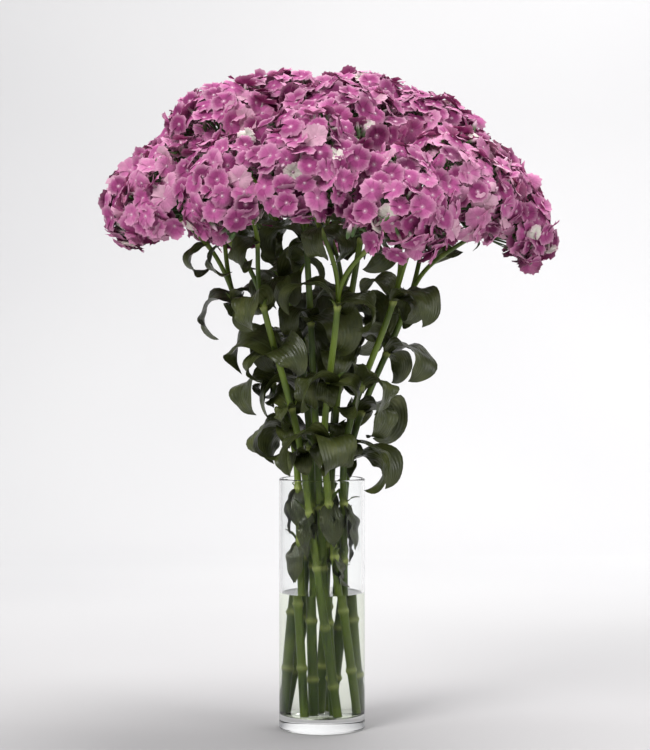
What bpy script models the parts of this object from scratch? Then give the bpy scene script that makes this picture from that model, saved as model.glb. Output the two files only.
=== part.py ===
"""A bunch of ten cut dianthus stems standing in a clear glass cylinder vase of water.

Metres, +Z up. The origin is the centre of the vase's underside, and -Y is the side that faces the viewer.
Each leafy stem is one solid, each of its flower heads is another, and the vase and its water are one each.
"""

import itertools
import math

import bmesh
import bpy
import numpy as np

# Vase and water.
VASE_RADIUS = 0.043
VASE_WALL = 0.003
VASE_HEIGHT = 0.250
VASE_FLOOR = 0.014
VASE_SIDES = 36
EDGE_ROUND = 0.0012
FLOOR_ROUND = 0.004
WATER_LEVEL = 0.136
CLEARANCE = 0.0004

# The stems stand in a spiral: each foot lies round the vase from its place at the mouth.
SPIRAL_TURN = 70.0
FOOT_REACH = {"inner": 0.0125, "outer": 0.0295}
MOUTH_REACH = {"inner": 0.0110, "outer": 0.0250}
STEM_FOOT_RADIUS = 0.0042
STEM_FORK_RADIUS = 0.0030
STEM_LEAN = {"inner": 0.20, "outer": 0.36}
STEM_BEND = 0.385
STEM_SIDES = 6
JOINT_SWELL = 1.30
JOINT_LENGTH = 0.0055
FIRST_JOINT = 0.040
JOINT_SPACING = 0.058
LAST_JOINT_ROOM = 0.035
HOLE_SLACK = 0.0006

# Leaves, in opposite pairs at the joints, arching out and curling down. A leaf's half width is its base share and
# the rest times a fullness, less near the tip. Within the clasp it may lie close to its own stem.
LEAF_LENGTH = 0.084
LEAF_WIDTH = 0.038
LEAF_THICKNESS = 0.0012
LEAF_SEGMENTS = 6
SMALL_LEAF_SEGMENTS = 4
LEAF_BASE = 0.20
LEAF_LOW_WIDTH = 0.82
LEAF_FULLNESS = 0.6
LEAF_TIP = 8
LEAF_START = 30.0
LEAF_CURL = 240.0
LEAF_EASE = 1.25
LEAF_TWIST = 75.0
LEAF_FOLD = 0.20
LEAF_CLASP = 0.016
LEAF_ROOM = 0.0028
LOWEST_LEAF = 0.170
SHOOT_SIZE = 0.68
TOP_LEAF_SIZE = 0.94

# Leaves in the vase's mouth, which hang down along the glass.
MOUTH_LEAF_SIZE = 0.70
MOUTH_LEAF_START = 132.0
MOUTH_LEAF_CURL = 46.0
MOUTH_LEAF_EASE = 0.35
MOUTH_LEAF_TWIST = 0.3
MOUTH_LEAF_CLASP = 0.030
MOUTH_LEAF_SPREAD = 0.55

# The single leaf of each branch, and the two bracts under each head.
BRANCH_LEAF_PLACE = 0.62
BRANCH_LEAF_LENGTH = 0.060
BRANCH_LEAF_WIDTH = 0.025
BRANCH_LEAF_START = 50.0
BRACT_LENGTH = 0.030
BRACT_WIDTH = 0.0032
BRACT_THICKNESS = 0.0010
BRACT_START = 55.0
BRACT_CURL = 120.0

# Heads. A head's florets lie on a flattened ball, and its pedicels rise to its flat underside. Three kinds of
# ball, as shares of its radius, keep the leaves out of it.
OUTER_HEAD_RADIUS = 0.054
INNER_HEAD_RADIUS = 0.060
OUTER_HEAD_REACH = 0.15
HEAD_FLATNESS = 0.70
HEAD_LEAST_LEAN = 10.0
HEAD_LEAN_GAIN = 46.0
HEAD_FULL_REACH = 0.18
HEAD_LEAN_POWER = 1.4
CORE_SHARE = 0.60
FLORET_SHARE = 0.43
FLORET_CUP = 0.0035
RING_LEVEL = 1 / math.sqrt(5)
FACE_LEVEL = 0.795
MIDDLE_BALL = 0.78
SIDE_BALL = 0.58
SIDE_BALL_REACH = 0.52
PEDICEL_LENGTH = 0.026
PEDICEL_RADIUS = 0.0011
BRANCH_RADIUS = 0.0021
BRANCH_BEND = 0.4
BRANCH_SIDES = 5

SEED = 20

# Each stem: its ring, bearing, and the reach and height of its fork; then the bearing, reach and height of
# each head's middle. Bearings are in degrees from +X, and -90 is towards the viewer.
STEMS = (
    ("inner", 168, 0.046, 0.494, ((-166, 0.048, 0.606), (156, 0.114, 0.592))),
    ("inner", 30, 0.046, 0.494, ((12, 0.050, 0.608), (40, 0.120, 0.582))),
    ("inner", -108, 0.050, 0.486, ((-82, 0.098, 0.586), (-147, 0.112, 0.588))),
    ("outer", -80, 0.088, 0.425, ((-95, 0.170, 0.548), (-66, 0.176, 0.514))),
    ("outer", -32, 0.084, 0.430, ((-40, 0.172, 0.534), (-18, 0.116, 0.580))),
    ("outer", 12, 0.090, 0.430, ((-5, 0.182, 0.512), (23, 0.172, 0.552))),
    ("outer", 76, 0.084, 0.430, ((56, 0.174, 0.540), (96, 0.104, 0.592))),
    ("outer", 107, 0.090, 0.430, ((87, 0.172, 0.544), (121, 0.172, 0.542))),
    ("outer", 168, 0.090, 0.430, ((152, 0.168, 0.556), (-176, 0.170, 0.530))),
    ("outer", -131, 0.088, 0.425, ((-146, 0.168, 0.532), (-120, 0.168, 0.532))),
)

COLOURS = {
    "glass": (0.82, 0.90, 0.88),
    "water": (0.75, 0.88, 0.86),
    "foliage": (0.07, 0.13, 0.035),
    "petal": (0.62, 0.13, 0.42),
}


def unit(vector):
    return vector / np.linalg.norm(vector)


def polar(bearing, reach, height):
    """The point at a bearing in degrees, a reach from the vase's axis and a height."""
    angle = math.radians(bearing)
    return np.array([reach * math.cos(angle), reach * math.sin(angle), height])


def crossways(heading):
    """Two directions square to a heading and to each other, as a right-handed set with it."""
    level = unit(np.cross(heading, [0.0, 1.0, 0.02]))
    return level, np.cross(heading, level)


def bezier(start, out_of_start, into_end, end, count=24):
    """Points on the cubic curve through start and end with those two handles."""
    t = np.linspace(0, 1, count)[:, None]
    return (1 - t) ** 3 * start + 3 * (1 - t) ** 2 * t * out_of_start + 3 * (1 - t) * t**2 * into_end + t**3 * end


class Path:
    """A smooth line that is read by the distance along it."""

    def __init__(self, points):
        self.points = np.asarray(points, float)
        steps = np.linalg.norm(np.diff(self.points, axis=0), axis=1)
        self.along = np.concatenate([[0.0], np.cumsum(steps)])
        self.length = self.along[-1]

    def at(self, distance):
        return np.array([np.interp(distance, self.along, self.points[:, k]) for k in range(3)])

    def heading(self, distance):
        reach = 0.004
        return unit(self.at(min(distance + reach, self.length)) - self.at(max(distance - reach, 0.0)))


def stem_path(ring, bearing, fork_reach, fork_height):
    """Straight from the foot to the vase's mouth, then bending outwards to the fork."""
    foot = polar(bearing + SPIRAL_TURN, FOOT_REACH[ring], VASE_FLOOR + CLEARANCE)
    mouth = polar(bearing, MOUTH_REACH[ring], VASE_HEIGHT)
    fork = polar(bearing, fork_reach, fork_height)
    rise = (fork_height - VASE_HEIGHT) * STEM_BEND
    lean = unit(polar(bearing, STEM_LEAN[ring], 1.0))
    bend = bezier(mouth, mouth + unit(mouth - foot) * rise, fork - lean * rise, fork, 30)
    return Path(np.vstack([foot + (mouth - foot) * s for s in np.linspace(0, 0.95, 20)] + [bend]))


def head_axis(bearing, reach):
    """A head leans outwards, and the more the further out it is."""
    lean = math.radians(HEAD_LEAST_LEAN + HEAD_LEAN_GAIN * (reach / HEAD_FULL_REACH) ** HEAD_LEAN_POWER)
    return polar(bearing, math.sin(lean), math.cos(lean))


def joint_distances(path, rng):
    """Places of the swollen joints along a stem; the last is just under the fork."""
    found = []
    place = FIRST_JOINT + rng.uniform(-0.010, 0.012)
    while place < path.length - LAST_JOINT_ROOM:
        found.append(place)
        place += JOINT_SPACING * rng.uniform(0.9, 1.12)
    return [*found, path.length - JOINT_LENGTH]


def plan_head(spot, fork, lean, rng):
    """The places of one head, of the branch that carries it and of its pedicels' feet."""
    bearing, reach, height = spot
    axis = head_axis(bearing, reach)
    middle = polar(bearing, reach, height)
    is_outer = reach > OUTER_HEAD_REACH
    radius = (OUTER_HEAD_RADIUS if is_outer else INNER_HEAD_RADIUS) * rng.uniform(0.96, 1.05)
    underside = RING_LEVEL * CORE_SHARE * HEAD_FLATNESS * radius
    receptacle = middle - axis * (underside + PEDICEL_LENGTH)
    span = np.linalg.norm(receptacle - fork) * BRANCH_BEND
    return {
        "middle": middle,
        "axis": axis,
        "radius": radius,
        "receptacle": receptacle,
        "branch": Path(bezier(fork, fork + lean * span, receptacle - axis * span, receptacle)),
        "spin": rng.uniform(0, 72),
        "is_outer": is_outer,
        "leaves": [],
    }


def plan_stem(index, row):
    ring, bearing, fork_reach, fork_height, spots = row
    rng = np.random.default_rng(SEED + index)
    path = stem_path(ring, bearing, fork_reach, fork_height)
    joints = joint_distances(path, rng)
    turns = 90.0 * np.arange(len(joints)) + rng.uniform(-40, 40, len(joints))
    lean = path.heading(path.length)
    heads = [plan_head(spot, path.points[-1], lean, rng) for spot in spots]
    return {
        "index": index,
        "path": path,
        "joints": joints,
        "turns": turns,
        "heads": heads,
        "leaves": [],
        "rng": rng,
    }


def stem_radius(plan, distance):
    share = distance / plan["path"].length
    return STEM_FOOT_RADIUS + (STEM_FORK_RADIUS - STEM_FOOT_RADIUS) * share


def leaf_frames(leaf, stations):
    """Rib points, sideways and upper-side directions, and half widths of a leaf at even steps along it.

    The rib leaves the stem at the start angle and turns towards the ground by the curl times s to the ease, while
    the blade rolls about it by the twist.
    """
    s = np.linspace(0, 1, 41)
    angle = np.radians(leaf["start"] + leaf["curl"] * s ** leaf["ease"])
    along = np.cos(angle)[:, None] * leaf["up"] + np.sin(angle)[:, None] * leaf["out"]
    steps = (along[1:] + along[:-1]) / 2 * leaf["length"] / 40
    rib = leaf["root"] + np.vstack([np.zeros(3), np.cumsum(steps, axis=0)])
    level = np.cross(leaf["up"], leaf["out"])
    top = np.sin(angle)[:, None] * leaf["up"] - np.cos(angle)[:, None] * leaf["out"]
    roll = np.radians(leaf["twist"] * s)[:, None]
    side = np.cos(roll) * level + np.sin(roll) * top
    normal = np.cos(roll) * top - np.sin(roll) * level
    full = np.sin(math.pi * s**LEAF_LOW_WIDTH) ** LEAF_FULLNESS
    half = leaf["width"] / 2 * (LEAF_BASE + (1 - LEAF_BASE) * full) * (1 - s**LEAF_TIP)
    pick = np.linspace(0, 40, stations)
    columns = [np.interp(pick, np.arange(41), column) for column in (*rib.T, *side.T, *normal.T, half)]
    rib, side, normal = (np.stack(columns[k : k + 3], axis=1) for k in (0, 3, 6))
    return rib, side, normal, columns[9]


def leaf_samples(leaf):
    """Points all over a leaf, close enough together to stand for it."""
    rib, side, normal, half = (column[1:] for column in leaf_frames(leaf, 17))
    shares = (-1, -0.66, -0.33, 0, 0.33, 0.66, 1)
    return np.vstack([rib + (side * share + normal * LEAF_FOLD * abs(share)) * half[:, None] for share in shares])


def bract(head, k):
    """A narrow pointed bract at the top of a branch, that curls away under the head."""
    level, across = crossways(head["axis"])
    angle = math.radians(head["spin"] + 180 * k)
    return {
        "root": head["receptacle"] - head["axis"] * 0.002,
        "up": head["axis"],
        "out": math.cos(angle) * level + math.sin(angle) * across,
        "length": BRACT_LENGTH,
        "width": BRACT_WIDTH,
        "start": BRACT_START,
        "curl": BRACT_CURL,
        "ease": LEAF_EASE,
        "twist": 0.0,
    }


def tube_balls(path, radius, owner, step=0.004):
    places = np.arange(0, path.length, step)
    return np.array([[*path.at(d), radius, owner] for d in places])


def head_balls(head):
    """Balls that fill a head: one in its middle and six round it."""
    level, across = crossways(head["axis"])
    reach = head["radius"]
    balls = [[*(head["middle"] + head["axis"] * 0.004), reach * MIDDLE_BALL, -1]]
    for turn in np.linspace(0, 2 * np.pi, 7)[:6]:
        out = (math.cos(turn) * level + math.sin(turn) * across) * reach * SIDE_BALL_REACH
        balls.append([*(head["middle"] + out), reach * SIDE_BALL, -1])
    return np.array(balls)


def fixed_obstacles(plans):
    """Balls (x, y, z, radius, owner) that stand for the stems, branches, pedicels and heads."""
    balls = []
    for plan in plans:
        owner = plan["index"]
        balls.append(tube_balls(plan["path"], STEM_FOOT_RADIUS * 1.2, owner))
        for head in plan["heads"]:
            foot, axis = head["receptacle"], head["axis"]
            balls.append(tube_balls(head["branch"], BRANCH_RADIUS * 1.4, owner))
            for share in (0.2, 0.5, 0.8):
                spread = 0.004 + head["radius"] * CORE_SHARE * 0.5 * share
                balls.append(np.array([[*(foot + axis * PEDICEL_LENGTH * share), spread, owner]]))
            balls.append(head_balls(head))
            for k in range(2):
                points = leaf_samples(bract(head, k))
                balls.append(np.column_stack([points, np.full((len(points), 2), [0.001, owner])]))
    return np.vstack(balls)


def hits_vase(points):
    """True if any point is in the vase's wall or in the water, or too near them."""
    reach = np.hypot(points[:, 0], points[:, 1])
    low = points[:, 2] < VASE_HEIGHT + 0.003
    near = (reach > VASE_RADIUS - VASE_WALL - 0.002) & (reach < VASE_RADIUS + 0.003)
    wet = points[:, 2] < WATER_LEVEL + 0.004
    inside = reach < VASE_RADIUS
    return bool((low & near).any() or (wet & inside).any())


def is_clear(leaf, points, balls, owner):
    """True if a leaf keeps LEAF_ROOM from everything, apart from its own stem near the root."""
    if hits_vase(points):
        return False
    places, radii = balls[:, :3] - leaf["root"], balls[:, 3]
    local = points - leaf["root"]
    square = (local**2).sum(axis=1)[:, None] + (places**2).sum(axis=1) - 2 * local @ places.T
    room = square - (radii + LEAF_ROOM) ** 2
    near_root = np.linalg.norm(local, axis=1) < leaf["clasp"]
    room[np.ix_(near_root, balls[:, 4] == owner)] = 1.0
    return bool((room > 0).all())


def place_leaf(wish, turn, owner, balls):
    """Tries the leaf as it would grow, then turned aside, bent or steeper, then smaller, till one is clear."""
    level, across = crossways(wish["up"])
    apart = np.linalg.norm(balls[:, :3] - wish["root"], axis=1) - balls[:, 3]
    near = balls[apart < wish["length"] * 0.8]
    turns = (0, 18, -18, 36, -36, 54, -54, 72, -72)
    tries = itertools.product((1.0, 0.86, 0.72, 0.60, 0.48), (0, -22, 25), (0, 45, -60), turns)
    for size, steeper, bend, aside in tries:
        angle = math.radians(turn + aside)
        leaf = dict(wish)
        leaf["out"] = math.cos(angle) * level + math.sin(angle) * across
        leaf["length"] = wish["length"] * size
        leaf["width"] = wish["width"] * (0.4 + 0.6 * size)
        leaf["start"] = wish["start"] + steeper
        leaf["curl"] = wish["curl"] + bend
        points = leaf_samples(leaf)
        if is_clear(leaf, points[::6], near, owner) and is_clear(leaf, points, near, owner):
            return leaf, np.column_stack([points, np.full((len(points), 2), [0.001, owner])])
    return None, np.empty((0, 5))


def is_in_mouth(plan, level):
    return plan["path"].at(plan["joints"][level])[2] < VASE_HEIGHT


def joint_leaf(plan, level, size, draw):
    """The leaf that a joint grows if nothing is in its way. In the vase's mouth it hangs down along the glass."""
    path, place = plan["path"], plan["joints"][level]
    share = size * (TOP_LEAF_SIZE if place > path.length - 0.02 else 1.0)
    leaf = {
        "root": path.at(place),
        "up": path.heading(place),
        "length": LEAF_LENGTH * share * (1 + 0.12 * draw[0]),
        "width": LEAF_WIDTH * share * (1 + 0.10 * draw[1]),
        "start": LEAF_START + 10 * draw[2],
        "curl": LEAF_CURL + 60 * draw[3],
        "ease": LEAF_EASE,
        "twist": LEAF_TWIST * draw[4],
        "clasp": LEAF_CLASP,
        "joint": level,
        "is_small": size < 1 or is_in_mouth(plan, level),
        "hangs": is_in_mouth(plan, level),
    }
    if is_in_mouth(plan, level):
        leaf["length"] *= MOUTH_LEAF_SIZE
        leaf["width"] *= MOUTH_LEAF_SIZE
        leaf["start"] = MOUTH_LEAF_START
        leaf["curl"] = MOUTH_LEAF_CURL
        leaf["ease"] = MOUTH_LEAF_EASE
        leaf["twist"] *= MOUTH_LEAF_TWIST
        leaf["clasp"] = MOUTH_LEAF_CLASP
    return leaf


def leaf_turn(plan, level, turn, wish):
    """The way a joint's leaf faces, in degrees. In the mouth the pair stands aslant of the way to the glass."""
    if not is_in_mouth(plan, level):
        return plan["turns"][level] + turn
    level_way, across = crossways(wish["up"])
    outward = np.array([wish["root"][0], wish["root"][1], 0.0])
    facing = math.degrees(math.atan2(np.dot(outward, across), np.dot(outward, level_way)))
    return facing + (turn - 90) * MOUTH_LEAF_SPREAD


def branch_leaf(head, draw):
    """The small single leaf that a branch grows under its head."""
    place = head["branch"].length * BRANCH_LEAF_PLACE
    return {
        "root": head["branch"].at(place),
        "up": head["branch"].heading(place),
        "length": BRANCH_LEAF_LENGTH * (1 + 0.1 * draw[1]),
        "width": BRANCH_LEAF_WIDTH,
        "start": BRANCH_LEAF_START,
        "curl": LEAF_CURL + 30 * draw[2],
        "ease": LEAF_EASE,
        "twist": LEAF_TWIST * draw[0],
        "clasp": LEAF_CLASP,
    }


def grow_leaves(plans):
    """Gives each leafy joint an opposite pair, then each above the vase a shoot between them, and each branch a leaf."""
    balls = fixed_obstacles(plans)
    highest = max(len(plan["joints"]) for plan in plans)
    for size, lowest, turns in ((1.0, LOWEST_LEAF, (0, 180)), (SHOOT_SIZE, VASE_HEIGHT, (90,))):
        for level, plan in itertools.product(range(highest), plans):
            if level >= len(plan["joints"]) or plan["path"].at(plan["joints"][level])[2] < lowest:
                continue
            for turn in turns:
                wish = joint_leaf(plan, level, size, plan["rng"].uniform(-1, 1, 5))
                leaf, taken = place_leaf(wish, leaf_turn(plan, level, turn, wish), plan["index"], balls)
                if leaf:
                    plan["leaves"].append(leaf)
                    balls = np.vstack([balls, taken])
    for plan in plans:
        for head in plan["heads"]:
            draw = plan["rng"].uniform(-1, 1, 3)
            leaf, taken = place_leaf(branch_leaf(head, draw), 180 * draw[0], plan["index"], balls)
            if leaf:
                head["leaves"].append(leaf)
                balls = np.vstack([balls, taken])


def plan_bunch():
    plans = [plan_stem(index, row) for index, row in enumerate(STEMS)]
    grow_leaves(plans)
    return plans


def mesh_object(name, points, faces, material=None):
    mesh = bpy.data.meshes.new(name)
    mesh.from_pydata([tuple(map(float, p)) for p in points], [], faces)
    if material:
        mesh.materials.append(material)
    obj = bpy.data.objects.new(name, mesh)
    bpy.context.scene.collection.objects.link(obj)
    return obj


def plain_material(name, roughness, alpha=1.0):
    material = bpy.data.materials.new(name)
    material.use_nodes = True
    shader = material.node_tree.nodes["Principled BSDF"]
    shader.inputs["Base Color"].default_value = (*COLOURS[name], 1.0)
    shader.inputs["Roughness"].default_value = roughness
    shader.inputs["Metallic"].default_value = 0.0
    shader.inputs["Alpha"].default_value = alpha
    return material


def turned(name, profile, sides, material):
    """A solid of revolution about Z from a profile of (radius, height), which starts and ends on the axis."""
    bm = bmesh.new()
    points = [bm.verts.new((radius, 0, height)) for radius, height in profile]
    edges = [bm.edges.new(pair) for pair in zip(points, points[1:])]
    bmesh.ops.spin(
        bm, geom=points + edges, axis=(0, 0, 1), cent=(0, 0, 0), steps=sides, angle=2 * math.pi, use_merge=True
    )
    bmesh.ops.remove_doubles(bm, verts=bm.verts, dist=1e-6)
    bmesh.ops.recalc_face_normals(bm, faces=bm.faces)
    obj = mesh_object(name, [], [], material)
    bm.to_mesh(obj.data)
    bm.free()
    obj.data.shade_smooth()
    obj.data.set_sharp_from_angle(angle=math.radians(35))
    return obj


def arc(centre, radius, start, end, count):
    """Points of a circular arc in the profile's plane, by angles in degrees."""
    angles = np.radians(np.linspace(start, end, count))
    return [(centre[0] + radius * math.cos(a), centre[1] + radius * math.sin(a)) for a in angles]


def make_vase(material):
    inside = VASE_RADIUS - VASE_WALL
    lip = VASE_WALL / 2
    profile = [
        (0.0, 0.0),
        *arc((VASE_RADIUS - EDGE_ROUND, EDGE_ROUND), EDGE_ROUND, -90, 0, 2),
        *arc((VASE_RADIUS - lip, VASE_HEIGHT - lip), lip, 0, 180, 3),
        *arc((inside - FLOOR_ROUND, VASE_FLOOR + FLOOR_ROUND), FLOOR_ROUND, 0, -90, 3),
        (0.0, VASE_FLOOR),
    ]
    return turned("vase", profile, VASE_SIDES, material)


class Skin:
    """A surface that is grown ring by ring, from a foot to its tips, without a seam."""

    def __init__(self):
        self.points = []
        self.faces = []

    def add(self, point):
        self.points.append(point)
        return len(self.points) - 1

    def ring(self, centre, heading, across, radius, sides, shift=0.0):
        """Corner numbers of a new ring, anticlockwise about the heading from the across direction."""
        across = unit(across - heading * np.dot(across, heading))
        other = np.cross(heading, across)
        turns = 2 * np.pi * (np.arange(sides) + shift) / sides
        return [self.add(centre + radius * (math.cos(t) * across + math.sin(t) * other)) for t in turns]

    def wrap(self, lower, upper, left_open=()):
        """Facets between two rings, apart from the ones left open for a leaf to grow out of."""
        for k in range(len(lower)):
            if k not in left_open:
                after = (k + 1) % len(lower)
                self.faces.append((lower[k], lower[after], upper[after], upper[k]))

    def facet(self, lower, out, taken=()):
        """The number of the facet above a ring that faces a direction best and isn't taken."""
        count = len(lower)
        middle = np.mean([self.points[k] for k in lower], axis=0)
        facing = [self.points[lower[k]] + self.points[lower[(k + 1) % count]] - 2 * middle for k in range(count)]
        fit = [-2 if k in taken else np.dot(unit(direction), out) for k, direction in enumerate(facing)]
        return int(np.argmax(fit))

    def sprout(self, lower, upper, leaf, segments, thickness, taken=()):
        """Grows a folded blade out of the free facet that faces the leaf's way, and returns the facet's number."""
        column = self.facet(lower, leaf["out"], taken)
        after = (column + 1) % len(lower)
        ring = [lower[column], lower[after], upper[after], upper[column]]
        frames = leaf_frames(leaf, segments + 1)
        for rib, side, normal, half in zip(*(row[1:-1] for row in frames)):
            fold = normal * half * LEAF_FOLD
            rise = normal * thickness / 2
            grown = [self.add(rib + step) for step in (-rise, side * half + fold, rise, fold - side * half)]
            self.wrap_blade(ring, grown)
            ring = grown
        tip = self.add(frames[0][-1])
        self.faces += [(ring[k], ring[(k + 1) % 4], tip) for k in range(4)]
        return column

    def wrap_blade(self, lower, upper):
        """Triangles between two stations of a blade, split alike on its upper and under side."""
        for rib in (0, 2):
            for edge, before in ((rib + 1, False), ((rib + 3) % 4, True)):
                inner = [(lower[rib], lower[edge], upper[edge]), (lower[rib], upper[edge], upper[rib])]
                self.faces += [face[::-1] for face in inner] if before else inner


def make_water(plans, material):
    """The water, with a plain straight hole for each stem that stands in it."""
    reach = VASE_RADIUS - VASE_WALL - CLEARANCE
    low = VASE_FLOOR + CLEARANCE
    profile = [
        (0.0, low),
        *arc((reach - FLOOR_ROUND, low + FLOOR_ROUND), FLOOR_ROUND, -90, 0, 3),
        (reach, WATER_LEVEL),
        (0.0, WATER_LEVEL),
    ]
    water = turned("water", profile, VASE_SIDES, material)
    holes = bpy.data.collections.new("holes")
    bpy.context.scene.collection.children.link(holes)
    radius = STEM_FOOT_RADIUS * JOINT_SWELL + HOLE_SLACK
    for plan in plans:
        foot, mouth = plan["path"].points[0], plan["path"].points[19]
        heading = unit(mouth - foot)
        skin = Skin()
        ends = [foot - heading * 0.006, foot + heading * (WATER_LEVEL - VASE_FLOOR) * 1.2]
        rings = [skin.ring(end, heading, np.array([1.0, 0.0, 0.0]), radius, STEM_SIDES) for end in ends]
        skin.wrap(*rings)
        skin.faces += [tuple(reversed(rings[0])), tuple(rings[1])]
        hole = mesh_object("hole", skin.points, skin.faces)
        bpy.context.scene.collection.objects.unlink(hole)
        holes.objects.link(hole)
    subtract(water, holes)
    return water


def subtract(target, collection):
    """Takes a whole collection out of target with one Boolean, and removes the collection's objects."""
    modifier = target.modifiers.new("subtract", "BOOLEAN")
    modifier.operation = "DIFFERENCE"
    modifier.operand_type = "COLLECTION"
    modifier.collection = collection
    modifier.solver = "EXACT"
    graph = bpy.context.evaluated_depsgraph_get()
    whole = bpy.data.meshes.new_from_object(target.evaluated_get(graph))
    target.modifiers.remove(modifier)
    target.data = whole
    for obj in list(collection.objects):
        bpy.data.objects.remove(obj)
    bpy.data.collections.remove(collection)


def leaves_of_band(leaves, shift):
    """The leaves that grow from the band of facets under this ring: hanging ones below the joint, others above."""
    return [leaf for leaf in leaves if shift >= 0 and leaf["hangs"] == (shift == 0)]


def grow_main_stem(skin, plan):
    """The round stem with its swollen joints and the leaves that grow out of them. Returns its top ring."""
    path = plan["path"]
    across = np.array([1.0, 0.2, 0.1])
    ring = skin.ring(path.points[0], np.array([0.0, 0.0, 1.0]), across, STEM_FOOT_RADIUS, STEM_SIDES)
    skin.faces.append(tuple(reversed(ring)))
    for level, joint in enumerate(plan["joints"]):
        leaves = [leaf for leaf in plan["leaves"] if leaf["joint"] == level]
        for shift, swell in ((-JOINT_LENGTH, 1.0), (0.0, JOINT_SWELL), (JOINT_LENGTH, 1.0)):
            place = joint + shift
            grown = skin.ring(path.at(place), path.heading(place), across, stem_radius(plan, place) * swell, STEM_SIDES)
            left_open = []
            for leaf in leaves_of_band(leaves, shift):
                segments = SMALL_LEAF_SEGMENTS if leaf["is_small"] else LEAF_SEGMENTS
                left_open.append(skin.sprout(ring, grown, leaf, segments, LEAF_THICKNESS, left_open))
            skin.wrap(ring, grown, left_open)
            ring = grown
    return ring


def fork(skin, ring, heads):
    """Splits the top ring in two along a line, and returns each half's corners and the way to the other half."""
    centre = np.mean([skin.points[k] for k in ring], axis=0)
    apart = unit(heads[0]["receptacle"] - heads[1]["receptacle"])
    first = (skin.facet(ring, apart) - 1) % STEM_SIDES
    order = [ring[(first + k) % STEM_SIDES] for k in range(STEM_SIDES)]
    middle = skin.add(centre + np.array([0.0, 0.0, 0.0006]))
    return ([*order[:4], middle], -apart), ([*order[3:], order[0], middle], apart)


def grow_branch(skin, ring, inward, head):
    """A branch from half a fork to the receptacle, with its leaf, its bracts and five pedicels."""
    branch = head["branch"]
    for share, swell in ((0.28, 1.1), (0.58, 1.0), (0.66, 1.1), (0.93, 1.0), (1.0, 1.5)):
        place = branch.length * share
        heading = branch.heading(place)
        grown = skin.ring(branch.at(place), heading, inward, BRANCH_RADIUS * swell, BRANCH_SIDES, 1.0)
        left_open = []
        if share == 0.66:
            left_open = [skin.sprout(ring, grown, leaf, 4, LEAF_THICKNESS) for leaf in head["leaves"]]
        if share == 1.0:
            for k in range(2):
                left_open.append(skin.sprout(ring, grown, bract(head, k), 3, BRACT_THICKNESS, left_open))
        skin.wrap(ring, grown, left_open)
        ring = grown
    centre = skin.add(head["receptacle"] + head["axis"] * 0.001)
    for k in range(BRANCH_SIDES):
        grow_pedicel(skin, [centre, ring[k], ring[(k + 1) % BRANCH_SIDES]], head)


def grow_pedicel(skin, foot, head):
    """A thin three-sided stalk from a third of the receptacle to just under the head's flat underside."""
    axis = head["axis"]
    outward = skin.points[foot[1]] + skin.points[foot[2]] - 2 * head["receptacle"]
    outward = unit(outward - axis * np.dot(outward, axis))
    spread = outward * head["radius"] * CORE_SHARE * 0.55
    top = head["receptacle"] + axis * (PEDICEL_LENGTH - CLEARANCE) + spread
    tip = skin.ring(top, axis, -outward, PEDICEL_RADIUS, 3)
    skin.wrap(foot, tip)
    skin.faces.append(tuple(tip))


def make_stem(plan, material):
    """One leafy stem: main stem, two branches with their pedicels and bracts, and leaves, in one skin."""
    skin = Skin()
    top = grow_main_stem(skin, plan)
    for (ring, inward), head in zip(fork(skin, top, plan["heads"]), plan["heads"]):
        grow_branch(skin, ring, inward, head)
    return mesh_object(f"stem_{plan['index'] + 1:02d}", skin.points, skin.faces, material)


def flattened(points, axis):
    """Points of a ball pressed flatter along an axis through its middle."""
    points = np.asarray(points)
    return points - np.multiply.outer(points @ axis, axis) * (1 - HEAD_FLATNESS)


def core_points(head):
    """The twelve corners of a head's core: an icosahedron whose lowest corner is lifted level with its ring."""
    reach = math.sqrt(1 - RING_LEVEL**2)
    axis = head["axis"]
    level, across = crossways(axis)
    corners = [axis]
    for height, shift in ((RING_LEVEL, 0), (-RING_LEVEL, 36)):
        for k in range(5):
            angle = math.radians(head["spin"] + shift + 72 * k)
            corners.append(reach * (math.cos(angle) * level + math.sin(angle) * across) + height * axis)
    corners.append(-RING_LEVEL * axis)
    return flattened(np.array(corners) * head["radius"] * CORE_SHARE, axis)


def core_faces():
    """(upper five, middle five that look up, middle five that look down, lowest five) as corner numbers."""
    upper, looking_up, looking_down, lowest = [], [], [], []
    for k in range(5):
        here, after = 1 + k, 1 + (k + 1) % 5
        below, below_after = 6 + k, 6 + (k + 1) % 5
        upper.append((0, here, after))
        looking_up.append((here, below, after))
        looking_down.append((after, below, below_after))
        lowest.append((11, below_after, below))
    return upper, looking_up, looking_down, lowest


def floret_outline(radius, spin):
    """Angle, radius and lift of the fifteen rim points: each petal has two corners and a notch beside it."""
    rim = []
    for petal in range(5):
        middle = spin + 72 * petal
        for turn, share, lift in ((-23, 1.0, 0.0), (23, 0.96, 0.0012), (36, 0.56, -0.0008)):
            rim.append((math.radians(middle + turn), radius * share, lift))
    return rim


def pulled_clear(point, root, planes):
    """The point moved towards root until it is on the inner side of every plane (normal, distance)."""
    share = 1.0
    for normal, distance in planes:
        here, home = np.dot(normal, point) - distance, np.dot(normal, root) - distance
        if here < 0 < home:
            share = min(share, home / (home - here))
    return root + (point - root) * share


def head_planes(head, others):
    """Planes midway to each neighbouring head, in the head's own frame. A petal stays on the near side."""
    planes = []
    for other in others:
        between = other["middle"] - head["middle"]
        apart = np.linalg.norm(between)
        share = head["radius"] / (head["radius"] + other["radius"])
        if apart < 2.5 * INNER_HEAD_RADIUS:
            planes.append((-between / apart, CLEARANCE / 2 - apart * share))
    return planes


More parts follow.
